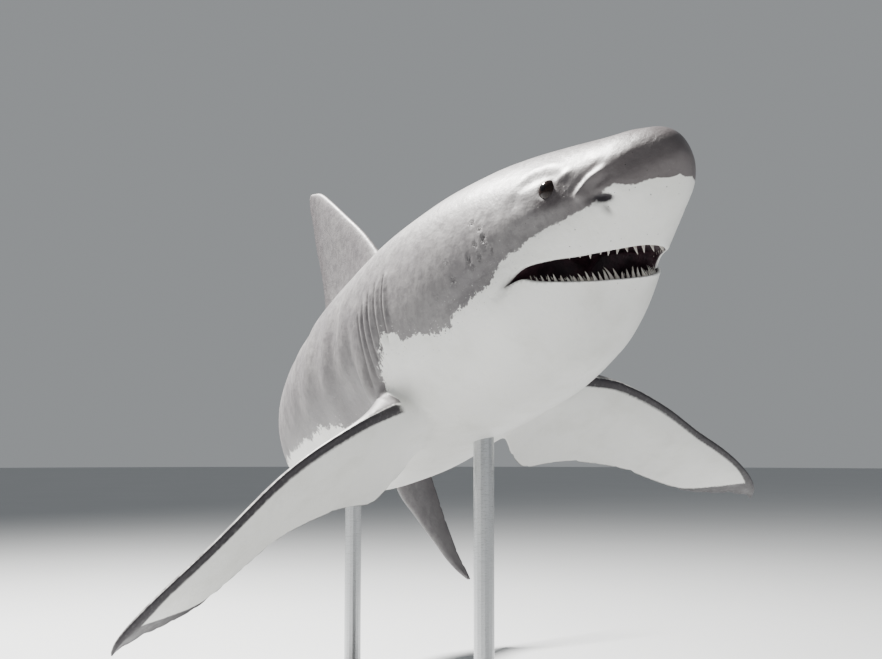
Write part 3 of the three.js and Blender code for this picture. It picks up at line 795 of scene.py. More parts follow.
def add_relief(bm):
    """Lifts the skin by its relief, square to the body's section."""
    points = vertex_array(bm)
    station, side, height = locate(points)
    rounding = np.maximum(end_rounding(np.clip(station, 0.5, BODY_LENGTH - 0.5)), 0.02)
    reach = np.where(height > 0, back_at(station), belly_at(station))
    angle = np.arctan2(height / (reach * rounding), side / (half_at(station) * rounding))
    lift = relief(station, elevation_of(angle), side < 0)
    lift = lift * (1 - smoothstep(station, *TAIL_SMOOTH))
    out = np.stack([np.cos(angle), np.sin(angle)], 1) * lift[:, None]
    set_vertices(bm, beside(station, side + out[:, 0], height + out[:, 1]))


# ---------------------------------------------------------------------------
# Mouth
# ---------------------------------------------------------------------------

upper_lip_at = smooth_through(UPPER_LIP)
lower_lip_at = smooth_through(LOWER_LIP)


def lip_plane(x, slope):
    return MOUTH_CORNER[1] + slope * (x - MOUTH_CORNER[0])


def side_at_height(station, height):
    """How far to the side the body's surface lies, at a height from the spine."""
    rounding = float(end_rounding(np.array(float(station))))
    reach = float(back_at(station) if height > 0 else belly_at(station)) * rounding
    sine = min(1.0, abs(height) / reach) ** (1 / ROUND_POWER)
    return float(half_at(station)) * rounding * (1 - sine * sine) ** (ROUND_POWER / 2)


def belly_height(station, side):
    """How far below the spine the body's surface lies, at a distance to the side."""
    rounding = float(end_rounding(np.array(float(station))))
    half = float(half_at(station)) * rounding
    cosine = min(1.0, abs(side) / half) ** (1 / ROUND_POWER)
    return float(belly_at(station)) * rounding * (1 - cosine * cosine) ** (ROUND_POWER / 2)


def faces_between(bm, rear, front, top):
    picked = []
    for face in bm.faces:
        middle = face.calc_center_median()
        if rear < middle.x < front and middle.z < top:
            picked.append(face)
    return picked


def cut_along(bm, faces, point, normal):
    parts = {*faces}
    for face in faces:
        parts.update(face.edges)
        parts.update(face.verts)
    bmesh.ops.bisect_plane(bm, geom=list(parts), dist=1e-3, plane_co=point, plane_no=normal)


def open_mouth(bm):
    """Cuts the mouth along both lips and takes out the skin between them."""
    corner = Vector((MOUTH_CORNER[0], 0, MOUTH_CORNER[1]))
    top = corner.z + CUT_MARGIN[1]
    behind = faces_between(bm, corner.x - CUT_MARGIN[0], MOUTH_FRONT, top)
    cut_along(bm, behind, corner, Vector((1, 0, 0)))
    for slope in (UPPER_LIP_SLOPE, LOWER_LIP_SLOPE):
        normal = Vector((-slope, 0, 1)).normalized()
        cut_along(bm, faces_between(bm, corner.x, MOUTH_FRONT, top), corner, normal)
    gap = []
    for face in faces_between(bm, corner.x, MOUTH_FRONT, corner.z):
        middle = face.calc_center_median()
        below = middle.z < lip_plane(middle.x, UPPER_LIP_SLOPE)
        above = middle.z > lip_plane(middle.x, LOWER_LIP_SLOPE)
        if below and above:
            gap.append(face)
    bmesh.ops.delete(bm, geom=gap, context="FACES")
    rim = [vert for vert in bm.verts if vert.is_boundary]
    bmesh.ops.remove_doubles(bm, verts=rim, dist=RIM_MERGE)


def arch_lips(bm):
    """Slides the skin round the mouth over the head, so that both rims follow the lips' lines."""
    for vert in bm.verts:
        x, z = vert.co.x, vert.co.z
        if x < MOUTH_CORNER[0] or x > MOUTH_FRONT or z > 0:
            continue
        upper = lip_plane(x, UPPER_LIP_SLOPE)
        lower = lip_plane(x, LOWER_LIP_SLOPE)
        if z > upper - LIP_SLACK:
            rise = (float(upper_lip_at(x)) - upper) * (1 - float(smoothstep(x, *SNOUT_FADE)))
            new_z = z + rise * math.exp(-((z - upper) / UPPER_LIP_REACH) ** 2)
        elif z < lower + LIP_SLACK:
            rise = float(lower_lip_at(x)) - lower
            new_z = z + rise * math.exp(-((z - lower) / LOWER_LIP_REACH) ** 2)
        else:
            continue
        if new_z >= 0:
            continue
        side = abs(vert.co.y)
        along_skin = float(smoothstep(side, *MIDDLE_FADE)) * (side_at_height(-x, new_z) - side)
        vert.co.y = math.copysign(side + along_skin, vert.co.y)
        vert.co.z = new_z


def rolled(start, inward, away_above, away_below):
    """Where a point of the lip's rim comes to rest further into the mouth. A distance of one or
    less is a share of the way to the middle of the mouth."""
    lower = float(lower_lip_at(start.x))
    upper = float(upper_lip_at(start.x))
    to_middle = Vector((MOUTH_MIDDLE - start.x, -start.y))
    whole = to_middle.length
    length = inward * whole if inward <= 1 else min(inward, LIP_SHARE * whole)
    x = start.x + to_middle.x / whole * length
    y = start.y + to_middle.y / whole * length
    opened = float(smoothstep(upper - lower, 0, OPEN_GAPE))
    limit = max(x, MOUTH_CORNER[0])
    if start.z > (upper + lower) / 2:
        drift = float(upper_lip_at(limit)) - upper
        return Vector((x, y, start.z + UPPER_DRIFT * drift + away_above * opened))
    drift = float(lower_lip_at(limit)) - lower
    floor = JAW_SKIN - belly_height(-x, y)
    return Vector((x, y, max(start.z + drift - away_below * opened, min(start.z, floor))))


def line_mouth(bm):
    """Rolls the lips inwards and closes the mouth behind them."""
    edges = [edge for edge in bm.edges if edge.is_boundary]
    starts = {vert: vert.co.copy() for edge in edges for vert in edge.verts}
    for ring, (inward, away_above, away_below) in enumerate(LIP_ROLL):
        made = bmesh.ops.extrude_edge_only(bm, edges=edges)["geom"]
        edges = [item for item in made if isinstance(item, bmesh.types.BMEdge) and item.is_boundary]
        next_starts = {}
        for vert in {vert for edge in edges for vert in edge.verts}:
            below = [edge.other_vert(vert) for edge in vert.link_edges]
            start = next(starts[other] for other in below if other in starts)
            next_starts[vert] = start
            vert.co = rolled(start, inward, away_above, away_below)
        starts = next_starts
        for item in made:
            if isinstance(item, bmesh.types.BMFace):
                item.material_index = SKIN_INDEX if ring < LIP_RINGS_OF_SKIN else MOUTH_INDEX
    # The sheet that closes the mouth wears the near-black lining: painted shade of the deep mouth.
    filled = bmesh.ops.holes_fill(bm, edges=edges, sides=0)["faces"]
    for face in filled:
        face.material_index = MOUTH_INDEX
    bmesh.ops.triangulate(bm, faces=filled)
    bmesh.ops.recalc_face_normals(bm, faces=bm.faces)


# ---------------------------------------------------------------------------
# Fins
# ---------------------------------------------------------------------------

def fin_half_thickness(chord_fraction, thick):
    """Half the thickness of a blade's section, rounded in front and thin behind."""
    front = np.minimum(1, chord_fraction / BLADE_NOSE)
    nose = np.sqrt(front * (2 - front))
    tail = 1 - smoothstep(chord_fraction, *BLADE_THINNING)
    return nose * (FIN_EDGE / 2 + np.maximum(0, thick - FIN_EDGE) / 2 * tail)


def nicked(out, rear, depth):
    """Small notches along a fin's rear edge."""
    wave = np.sin(out / 8.3 + 2 * np.sin(out / 31)) * np.sin(out / 19 + 1.3)
    return rear - depth * np.maximum(0, wave) ** 1.5


class PairedFrame:
    """The frame of a paired fin. Droop tilts the span down, twist lowers the rear edge, sweep turns
    the fin back about its own normal and bow lifts the inner part of its span."""

    def __init__(self, outline, root, pose, hand):
        droop, sweep, twist = (math.radians(angle) for angle in pose[:3])
        self.bow, self.hand = pose[3], hand
        self.reach = BOW_SPAN * outline[-1][0]
        span = Vector((0, hand * math.cos(droop), -math.sin(droop)))
        back = Vector((-1, 0, 0))
        across = back.cross(span) * hand
        chord = back * math.cos(twist) + across * math.sin(twist)
        outward = span * math.cos(sweep) + chord * math.sin(sweep)
        backward = chord * math.cos(sweep) - span * math.sin(sweep)
        self.axes = np.array([outward, backward, -outward.cross(backward)])
        self.origin = beside(root[0], hand * root[1], root[2])

    def bowed(self, out):
        return self.hand * self.bow * np.sin(np.pi * np.clip(out / self.reach, 0, 1)) ** 2

    def to_body(self, out, behind, half):
        local = np.stack([out, behind, half - self.bowed(out)], -1)
        return self.origin + local @ self.axes

    def to_fin(self, points):
        local = (points - self.origin) @ self.axes.T
        return local[:, 0], local[:, 1], -self.hand * (local[:, 2] + self.bowed(local[:, 0]))


class UprightFrame:
    """The fins on the back, under the tail and at its end stand in the body's middle plane."""

    @staticmethod
    def to_body(out, behind, half):
        return beside(behind, half, out)

    @staticmethod
    def to_fin(points):
        station, side, height = locate(points)
        return height, station, side


def blade(fin, frame_of_fin):
    """A fin as a closed, swept blade whose foot swells into the body, with a crest of muscle over
    the root of a pectoral fin."""
    outline, thick, columns, rings, nick, muscle = fin
    bm = bmesh.new()
    bmesh.ops.create_uvsphere(bm, u_segments=columns, v_segments=rings, radius=1)
    points = vertex_array(bm)
    along = np.arccos(np.clip(points[:, 2], -1, 1)) / math.pi
    eased = (1 - np.cos(math.pi * along)) / 2
    first, last = outline[0][0], outline[-1][0]
    out = first + (last - first) * ((1 - TIP_CROWDING) * along + TIP_CROWDING * eased)
    front = smooth_through(outline, 1)(out)
    rear = nicked(out, smooth_through(outline, 2)(out), nick)
    longest = max(row[2] - row[1] for row in outline)
    around = np.arctan2(points[:, 1], points[:, 0])
    on_ring = np.hypot(points[:, 0], points[:, 1]) > 1e-6
    fraction = np.where(on_ring, (1 - np.cos(around)) / 2, 0.5)
    chord = rear - front
    half = fin_half_thickness(fraction, thick * np.sqrt(chord / longest))
    hand = np.where(on_ring, np.sign(np.round(np.sin(around), 6)), 0)
    behind = front + chord * fraction
    above = np.maximum(0, above_skin(frame_of_fin.to_body(out, behind, hand * half)))
    scale = thick / FLARE_THICKNESS
    swell = np.exp(-above / (FLARE_REACH * scale)) * FLARE * scale
    rounded = np.sqrt(np.clip(fraction / FLARE_FRONT, 0, 1))
    half = half + swell * rounded * (1 - FLARE_THINNING * fraction)
    behind = behind + FLARE_SHIFT * swell * (1 - smoothstep(fraction, 0, FLARE_SHIFT_END))
    if muscle:
        off = frame_of_fin.to_fin(frame_of_fin.to_body(out, behind, hand * half))[2]
        crest = muscle * np.exp(-(above / CREST_REACH) ** 2) * (off > 0.1)
        rounded = np.sqrt(np.clip(fraction / CREST_SHARES[0], 0, 1))
        half = half + crest * rounded * (1 - smoothstep(fraction, *CREST_SHARES))
    set_vertices(bm, frame_of_fin.to_body(out, behind, hand * half))
    if bm.calc_volume(signed=True) < 0:
        bmesh.ops.reverse_faces(bm, faces=bm.faces)
    return mesh_object("fin", bm)


FIN_FRAMES = {
    "dorsal": (FIRST_DORSAL, UprightFrame()),
    "second dorsal": (SECOND_DORSAL, UprightFrame()),
    "anal": (ANAL, UprightFrame()),
    "tail": (TAIL, UprightFrame()),
    "left pectoral": (PECTORAL, PairedFrame(PECTORAL[0], PECTORAL_ROOT, PECTORAL_POSE[1], 1)),
    "right pectoral": (PECTORAL, PairedFrame(PECTORAL[0], PECTORAL_ROOT, PECTORAL_POSE[-1], -1)),
    "left pelvic": (PELVIC, PairedFrame(PELVIC[0], PELVIC_ROOT, PELVIC_POSE, 1)),
    "right pelvic": (PELVIC, PairedFrame(PELVIC[0], PELVIC_ROOT, PELVIC_POSE, -1)),
}


def check_closed(mesh, name):
    """Stops the build when a mesh is empty or has an open edge."""
    bm = bmesh.new()
    bm.from_mesh(mesh)
    open_edges = sum(1 for edge in bm.edges if edge.is_boundary)
    count = len(bm.faces)
    bm.free()
    if not count or open_edges:
        raise RuntimeError(f"{name} has {count} faces and {open_edges} open edges")


def unite(piece, fins):
    """Joins the fins to the body, so that they share one skin."""
    for fin in fins:
        joint = piece.modifiers.new("fin", "BOOLEAN")
        joint.operation = "UNION"
        joint.solver = "MANIFOLD"
        joint.object = fin
    finished = bpy.data.meshes.new_from_object(
        piece.evaluated_get(bpy.context.evaluated_depsgraph_get())
    )
    piece.modifiers.clear()
    piece.data = finished
    for fin in fins:
        bpy.data.objects.remove(fin)


def soften_roots(mesh):
    """Rounds the crease where each fin meets the body."""
    bm = bmesh.new()
    bm.from_mesh(mesh)
    points = vertex_array(bm)
    above = above_skin(points)
    near = np.zeros(len(points), bool)
    for name, (fin, fin_frame) in FIN_FRAMES.items():
        out, behind, off = fin_frame.to_fin(points)
        outline = fin[0]
        front = smooth_through(outline, 1)(out)
        rear = smooth_through(outline, 2)(out)
        inside = (behind > front - ROOT_AHEAD) & (behind < rear + ROOT_BEHIND)
        inside &= (np.abs(off) < fin[1] / 2 + ROOT_ASIDE) & (out > outline[0][0])
        near |= inside & (np.abs(above) < ROOT_WIDTH)
    crease = [vert for vert, close in zip(bm.verts, near) if close]
    bmesh.ops.remove_doubles(bm, verts=crease, dist=ROOT_MERGE)
    crease = [vert for vert in crease if vert.is_valid]
    for _ in range(ROOT_SMOOTHING):
        bmesh.ops.smooth_vert(
            bm, verts=crease, factor=0.5, use_axis_x=True, use_axis_y=True, use_axis_z=True,
        )
    bm.to_mesh(mesh)
    bm.free()


# ---------------------------------------------------------------------------
# Markings and painted shade, as values on the skin's points
# ---------------------------------------------------------------------------

border_at = smooth_through(BORDER_LINE)


def fin_marks(name, fin, fin_frame, points, above):
    """For every point: how far it is on this fin, 0 to 1, then the fin's distance into the grey in
    millimetres, its black and its shade."""
    outline, thick = fin[0], fin[1]
    out, behind, off = fin_frame.to_fin(points)
    front = smooth_through(outline, 1)(out)
    rear = smooth_through(outline, 2)(out)
    first, last = outline[0][0], outline[-1][0]
    ahead, back, aside, past = FIN_AREA
    near = (behind > front - ahead) & (behind < rear + back) & (np.abs(off) < thick / 2 + aside)
    near &= (out > first - past) & (out < last + past)
    on_fin = near * smoothstep(above, *FIN_START)
    from_rear = rear - behind
    span = np.clip(np.abs(out) / max(abs(first), abs(last)), 0, 1)
    if "pectoral" not in name and "pelvic" not in name:
        border = np.full(len(points), FIN_GREY)
        black = 0.5 * (1 - smoothstep(from_rear, *REAR_EDGE))
        shade = 0.5 * on_fin * (1 - smoothstep(from_rear, *REAR_SHADE))
        if name == "tail":
            black = np.maximum(black, 0.5 * smoothstep(span, 0.85, 1.0))
        return on_fin, border, black, shade

    # Paired fins are grey above and white below, with dark edges on the white.
    scale = 1.0 if "pectoral" in name else PELVIC_SCALE
    setback = CREST_SETBACK[0] * np.exp(-np.maximum(0, above) / CREST_SETBACK[1])
    from_front = behind - front - setback * ("pectoral" in name)
    border = np.clip(off - 3 * scale, -6, 6)
    widths = 1 - 0.15 * smoothstep(span, 0, 0.5) + smoothstep(span, 0.8, 1)
    band = UNDER_BAND * scale * widths
    rim = scale * (UNDER_RIM[0] + UNDER_RIM[1] * smoothstep(span, 0.55, 1) ** 1.5)
    under = 1 - smoothstep(from_front, band - 6, band + 6)
    under = under * smoothstep(above, 20 * scale, 60 * scale)
    under = np.maximum(under, 1 - smoothstep(from_rear, rim - 3, rim + 7))
    under = np.maximum(under, 1 - smoothstep(last - out, 45 * scale, 75 * scale))
    over = 0.35 * (1 - smoothstep(from_rear, 2, 14)) + 0.4 * smoothstep(span, 0.8, 1)
    upper_side = smoothstep(off, -1, 7 * scale)
    black = over * upper_side + UNDER_BLACK * under * (1 - upper_side)
    return on_fin, border, black, 0


def skin_marks(points):
    """The values that the skin's material reads at every point."""
    station, side, height = locate(points)
    clipped = np.clip(station, 0.5, BODY_LENGTH - 0.5)
    rounding = np.maximum(end_rounding(clipped), 0.03)
    reach = np.where(height > 0, back_at(station), belly_at(station)) * rounding
    half = half_at(station) * rounding
    elevation = np.degrees(np.arctan2(height / reach, np.abs(side) / half))
    border = np.radians(elevation - border_at(station)) * (reach + half) / 2
    fray = smooth_through(RAGGEDNESS)(station)
    # Painted shade round the eye, then painted shade in the head's creases and hollows.
    long, wide, droop = EYE_SHADE_PATCH
    up = np.radians(elevation - eye_elevation() + droop) * float(half_at(EYE_STATION))
    shade = np.exp(-np.hypot((station - EYE_STATION) / long, up / wide) ** 4)
    for mark in PAINTED_SHADE_PATCHES:
        shade += bump(station, elevation, *mark)
    black = np.zeros(len(points))
    for mark in BLACK_MARKS_AND_SHADE:
        black += bump(station, elevation, *mark)
    scar = np.zeros(len(points))
    for scar_station, scar_elevation, size, depth in SCARS:
        at = (scar_station, scar_elevation)
        scar += bump(station, elevation, at, (1.2 * size, 1.2 * size), depth / 3) * (side < 0)
    above = above_skin(points)
    for name, (fin, fin_frame) in FIN_FRAMES.items():
        on_fin, fin_border, fin_black, fin_shade = fin_marks(name, fin, fin_frame, points, above)
        border = border * (1 - on_fin) + fin_border * on_fin
        fray = fray * (1 - on_fin) + FIN_FRAY * on_fin
        black = black * (1 - on_fin) + fin_black * on_fin
        shade = shade + fin_shade
    return {
        "border": border * MM,
        "fray": fray,
        "black": black,
        "shade": np.clip(shade, 0, 1),
        "scar": scar,
        "station": station * MM,
        "rise": height / reach,
    }


# ---------------------------------------------------------------------------
# Teeth and eyes
# ---------------------------------------------------------------------------

def lip_arch(tooth, lip_at):
    """Points along one side of the gum, from the front to the corner, in the shark's frame."""
    arch = []
    for i in range(ARCH_STEPS + 1):
        station = tooth["first"] + (tooth["last"] - tooth["first"]) * (i / ARCH_STEPS) ** 2
        height = float(lip_at(-station))
        side = 0 if i == 0 else max(0, side_at_height(station, height) - TOOTH_INSET)
        arch.append(Vector((-station, side, height)))
    return arch


def along_arch(arch, share):
    """The place and direction at a share of an arch's length."""
    lengths = [(b - a).length for a, b in zip(arch, arch[1:])]
    left = share * sum(lengths)
    for a, b, length in zip(arch, arch[1:], lengths):
        if left <= length:
            return a.lerp(b, left / length), (b - a).normalized()
        left -= length
    return arch[-1].copy(), (arch[-1] - arch[-2]).normalized()


def add_tooth(bm, foot, outward, along, down, size, shape):
    """One tooth: a flat, pointed blade that leans back along the jaw and a little inwards."""
    width, height, lean, inward, root = size
    before = len(bm.verts)
    made = bmesh.ops.create_cone(
        bm, cap_ends=True, segments=TOOTH_SIDES, radius1=1, radius2=0.03, depth=1,
    )["verts"]
    edges = {edge for vert in made for edge in vert.link_edges}
    upright = [edge for edge in edges if abs(edge.verts[0].co.z - edge.verts[1].co.z) > 0.5]
    bmesh.ops.subdivide_edges(bm, edges=upright, cuts=TOOTH_CUTS)
    bm.verts.ensure_lookup_table()
    for vert in bm.verts[before:]:
        rise = vert.co.z + 0.5
        radius = math.hypot(vert.co.x, vert.co.y)
        waist = 1 - TOOTH_WAIST * math.sin(math.pi * rise)
        taper = max(TOOTH_POINT, max(0, 1 - rise) ** shape * waist)
        across = vert.co.x / radius * width / 2 * taper
        thick = vert.co.y / radius * width * TOOTH_FLATNESS / 2 * taper ** 0.8
        place = foot + along * (across + lean * rise * rise)
        place += outward * (thick - inward * rise * rise) + down * (height * rise - root)
        vert.co = place


def tooth_row(tooth, lip_at, upper):
    """A row of teeth along both sides of a jaw, with smaller ones behind it."""
    chance = np.random.default_rng(tooth["seed"])
    bm = bmesh.new()
    arch = lip_arch(tooth, lip_at)
    out_of_gum = Vector((0, 0, -1 if upper else 1))
    for shift, inset, tall in tooth["rows"]:
        for hand in (1, -1):
            for i in range(tooth["count"]):
                share = (i + 0.5 + shift) / tooth["count"]
                place, along = along_arch(arch, min(share, LAST_PLACE))
                outward = Vector((along.y, -along.x, 0))
                if outward.x / 2 + outward.y <= 0:
                    outward.negate()
                scale = (1 + (LAST_TOOTH - 1) * share * share) * tall
                height = tooth["height"] * scale * (1 + tooth["uneven"] * chance.normal())
                width = tooth["width"] * scale * (1 + 0.08 * chance.normal())
                lean = 0.12 * height * (1 + 0.6 * chance.normal())
                foot = place - outward * inset - out_of_gum * tooth["sink"]
                foot.y *= hand
                turned = Vector((outward.x, outward.y * hand, 0))
                back = Vector((along.x, along.y * hand, 0))
                drop = (out_of_gum + turned * 0.06 * chance.normal()).normalized()
                inward = height * (0.10 + 0.06 * chance.normal())
                size = (width, height, lean, inward, tooth["root"])
                add_tooth(bm, foot, turned, back, drop, size, tooth["shape"])
    bmesh.ops.recalc_face_normals(bm, faces=bm.faces)
    return bm


def skin_point(station, angle):
    """A point of the plain body's surface."""
    station, angle = np.array(float(station)), np.array(float(angle))
    side, height = section(station, angle)
    return Vector(beside(station, side, height))


def eye_axis(hand, sink):
    """The centre of an eyeball and the direction it looks in."""
    angle = math.radians(eye_elevation())
    angle = angle if hand > 0 else math.pi - angle
    place = skin_point(EYE_STATION, angle)
    along = skin_point(EYE_STATION + 1, angle) - skin_point(EYE_STATION - 1, angle)
    around = skin_point(EYE_STATION, angle + 0.02) - skin_point(EYE_STATION, angle - 0.02)
    outward = around.cross(along).normalized()
    if outward.y * hand < 0:
        outward.negate()
    return place - outward * sink, outward


def eyeball(centre, outward, radius):
    """A ball with one of its poles in the middle of the pupil."""
    bm = bmesh.new()
    bmesh.ops.create_uvsphere(bm, u_segments=64, v_segments=48, radius=radius)
    turn = outward.to_track_quat("Z", "Y").to_matrix().to_4x4()
    bmesh.ops.transform(bm, matrix=Matrix.Translation(centre) @ turn, verts=bm.verts)
    return bm


# ---------------------------------------------------------------------------
# Materials
# ---------------------------------------------------------------------------

class Shader:
    """A short way to lay out a node tree."""

    def __init__(self, tree):
        self.tree = tree
        self.count = 0

    def add(self, kind, label, values=None, **settings):
        made = self.tree.nodes.new(kind)
        made.label = label
        made.location = (-1800 + 220 * (self.count % 9), 400 - 260 * (self.count // 9))
        self.count += 1
        for key, value in settings.items():
            setattr(made, key, value)
        for socket, value in (values or {}).items():
            self.put(made.inputs[socket], value)
        return made

    def put(self, socket, value):
        if isinstance(value, bpy.types.NodeSocket):
            self.tree.links.new(value, socket)
        else:
            socket.default_value = value

    def attribute(self, name):
        return self.add("ShaderNodeAttribute", name, attribute_name=name).outputs["Fac"]

    def maths(self, label, operation, *values):
        made = self.add("ShaderNodeMath", label, operation=operation)
        for socket, value in zip(made.inputs, values):
            self.put(socket, value)
        return made.outputs[0]

    def noise(self, label, coordinates, scale, detail=3.0, roughness=0.5, distortion=0.0):
        values = {
            "Vector": coordinates,
            "Scale": scale,
            "Detail": detail,
            "Roughness": roughness,
            "Distortion": distortion,
        }
        return self.add("ShaderNodeTexNoise", label, values).outputs["Fac"]

    def spread(self, label, value, low, high, to_low=0.0, to_high=1.0):
        values = {
            "Value": value,
            "From Min": low,
            "From Max": high,
            "To Min": to_low,
            "To Max": to_high,
        }
        made = self.add("ShaderNodeMapRange", label, values, interpolation_type="SMOOTHSTEP")
        return made.outputs["Result"]

    def between(self, label, share, first, second):
        made = self.add("ShaderNodeMix", label, data_type="FLOAT")
        for socket, value in zip(made.inputs, (share, None, first, second)):
            if value is not None:
                self.put(socket, value)
        return made.outputs[0]

    def mix(self, label, share, first, second):
        made = self.add("ShaderNodeMix", label, data_type="RGBA")
        for socket, value in ((0, share), (6, first), (7, second)):
            self.put(made.inputs[socket], value)
        return made.outputs[2]

    def bump(self, label, height, distance, strength=1.0, normal=None):
        values = {"Height": height, "Distance": distance, "Strength": strength}
        if normal is not None:
            values["Normal"] = normal
        return self.add("ShaderNodeBump", label, values).outputs["Normal"]

    def clouds(self, label, place, noise, blend, first, second):
        """Soft clouds of one colour in another: the noise's scale, detail, roughness and
        distortion, then the cloud values between which the colours blend."""
        scale, detail, roughness, distortion = noise
        values = {
            "Place": place,
            "Scale": scale,
            "Detail": detail,
            "Roughness": roughness,
            "Distortion": distortion,
            "Low": blend[0],
            "High": blend[1],
            "First": first,
            "Second": second,
        }
        made = self.add("ShaderNodeGroup", label, values, node_tree=cloudy_colour())
        return made.outputs["Colour"], made.outputs["Cloud"]

    def grain(self, label, place, noise, depth, strength):
        """An uneven surface: the noise's scale, detail, roughness and distortion, then how deep."""
        scale, detail, roughness, distortion = noise
        values = {
            "Place": place,
            "Scale": scale,
            "Detail": detail,
            "Roughness": roughness,
            "Distortion": distortion,
            "Depth": depth,
            "Strength": strength,
        }
        made = self.add("ShaderNodeGroup", label, values, node_tree=uneven_surface())
        return made.outputs["Normal"]


NOISE_SOCKETS = (
    ("Place", "NodeSocketVector"),
    ("Scale", "NodeSocketFloat"),
    ("Detail", "NodeSocketFloat"),
    ("Roughness", "NodeSocketFloat"),
    ("Distortion", "NodeSocketFloat"),
)


def new_group(name, inputs, outputs):
    """An empty shader node group with named sockets, and the ends of its two inner nodes."""
    tree = bpy.data.node_groups.new(name, "ShaderNodeTree")
    for direction, sockets in (("INPUT", inputs), ("OUTPUT", outputs)):
        for socket, kind in sockets:
            tree.interface.new_socket(name=socket, in_out=direction, socket_type=kind)
    shader = Shader(tree)
    given = shader.add("NodeGroupInput", "given").outputs
    made = shader.add("NodeGroupOutput", "made").inputs
    noise = [given[socket] for socket, _ in NOISE_SOCKETS]
    return tree, shader, given, made, shader.noise("clouds", *noise)


def cloudy_colour():
    """The group that blends one colour into another in soft clouds, made on its first use."""
    name = "cloudy_colour"
    if name in bpy.data.node_groups:
        return bpy.data.node_groups[name]
    blend = (("Low", "NodeSocketFloat"), ("High", "NodeSocketFloat"))
    colours = (("First", "NodeSocketColor"), ("Second", "NodeSocketColor"))
    outputs = (("Colour", "NodeSocketColor"), ("Cloud", "NodeSocketFloat"))
    inputs = NOISE_SOCKETS + blend + colours
    tree, shader, given, made, cloud = new_group(name, inputs, outputs)
    share = shader.spread("share", cloud, given["Low"], given["High"])
    shader.put(made["Colour"], shader.mix("blend", share, given["First"], given["Second"]))
    shader.put(made["Cloud"], cloud)
    return tree


def uneven_surface():
    """The group that makes a surface uneven, made on its first use."""
    name = "uneven_surface"
    if name in bpy.data.node_groups:
        return bpy.data.node_groups[name]
    depth = (("Depth", "NodeSocketFloat"), ("Strength", "NodeSocketFloat"))
    outputs = (("Normal", "NodeSocketVector"),)
    tree, shader, given, made, cloud = new_group(name, NOISE_SOCKETS + depth, outputs)
    shader.put(made["Normal"], shader.bump("uneven", cloud, given["Depth"], given["Strength"]))
    return tree


def new_material(name):
    material = bpy.data.materials.new(name)
    material.use_nodes = True
    material.node_tree.nodes.clear()
    shader = Shader(material.node_tree)
    surface = shader.add("ShaderNodeBsdfPrincipled", "surface")
    result = shader.add("ShaderNodeOutputMaterial", "result")
    shader.put(result.inputs["Surface"], surface.outputs[0])
    coordinates = shader.add("ShaderNodeTexCoord", "place on the model").outputs["Object"]
    return material, shader, surface.inputs, coordinates


def ragged_border(shader, place, ragged):
    """Where the skin is grey: a ragged border, with specks and islands on both sides of it, and
    the fine noise that frayed it."""
    border = shader.attribute("border")
    fray = shader.attribute("fray")
    broad = shader.noise("broad raggedness", place, 22, 3, 0.55)
    fine = shader.noise("fine raggedness", place, 120, 5, 0.62)
    wander = shader.maths("wander", "MULTIPLY_ADD", broad, 0.055 * ragged, -0.0275 * ragged)
    around = shader.maths("round the body", "MULTIPLY", shader.attribute("rise"), 0.16)
    flat = {"X": shader.attribute("station"), "Y": around}
    upright = shader.add("ShaderNodeCombineXYZ", "upright", flat).outputs[0]
    streaky = shader.noise("upright streaks", upright, 130, 3, 0.6)
    by_gills = shader.spread("by the gills", fray, 1.0, 1.6, 0, 0.75)
    fine = shader.between("fine or streaky", by_gills, fine, streaky)
    wisps = shader.maths("wisps", "MULTIPLY_ADD", fine, 0.050 * ragged, -0.025 * ragged)
    both = shader.maths("wander and wisps", "ADD", wander, wisps)
    moved = shader.maths("border, moved", "MULTIPLY_ADD", both, fray, border)
    grey = shader.spread("grey or white", moved, -0.0022, 0.0022)

    off_border = shader.maths("off the border", "ABSOLUTE", border)
    near = shader.spread("near the border", off_border, 0.075, 0.01)
    near = shader.maths("where ragged", "MULTIPLY", near, fray)
    speck = shader.noise("speck pattern", place, 210, 2, 0.5)
    dark = shader.maths("specks", "MULTIPLY", shader.spread("speck", speck, 0.70, 0.73), near)
    dark = shader.maths("dim specks", "MULTIPLY", dark, 0.8)
    pale = shader.spread("white speck", speck, 0.30, 0.27)
    pale = shader.maths("white specks", "MULTIPLY", pale, near)
    pale = shader.maths("dim white specks", "MULTIPLY", pale, 0.6)
    grey = shader.maths("grey with specks", "MAXIMUM", grey, dark)
    kept = shader.maths("kept", "SUBTRACT", 1.0, pale)
    return shader.maths("grey less specks", "MULTIPLY", grey, kept), fine


def back_colour(shader, place, settings):
    """Slate, darker along the ridge of the back and browner on the snout, and its mottling."""
    dark = settings.slate_dark
    noise = (6, 4, 0.6, 0)
    back, _ = shader.clouds("slate", place, noise, (0.3, 0.7), settings.slate_light, settings.slate)
    mottle = shader.noise("mottle", place, 38, 5, 0.65)
    back = shader.mix("mottled", shader.spread("mottling", mottle, 0.62, 0.35, 0, 0.45), back, dark)
    ridge = shader.spread("up the back", shader.attribute("rise"), 0.35, 1.0, 0, 0.45)
    back = shader.mix("ridge", ridge, back, dark)
    snout = shader.spread("on the snout", shader.attribute("station"), 0.30, 0.06, 0, 0.7)
    return shader.mix("snout", snout, back, settings.snout_brown), mottle


def add_pores(shader, place, colour):
    """Pores in groups over the snout: the new colour and the depth of the pores."""
    cells = shader.add("ShaderNodeTexVoronoi", "pore cells", {"Vector": place, "Scale": 75.0})
    pore = shader.spread("pore", cells.outputs["Distance"], 0.11, 0.04)
    some = shader.spread("some cells", shader.noise("pore groups", place, 26, 2), 0.5, 0.56)
    pore = shader.maths("pores in groups", "MULTIPLY", pore, some)
    on_snout = shader.spread("snout only", shader.attribute("station"), 0.36, 0.26)
    pore = shader.maths("pores", "MULTIPLY", pore, on_snout)
    faint = shader.maths("faint", "MULTIPLY", pore, 0.85)
    return shader.mix("pored", faint, colour, BLACK_AND_PAINTED_SHADE), pore


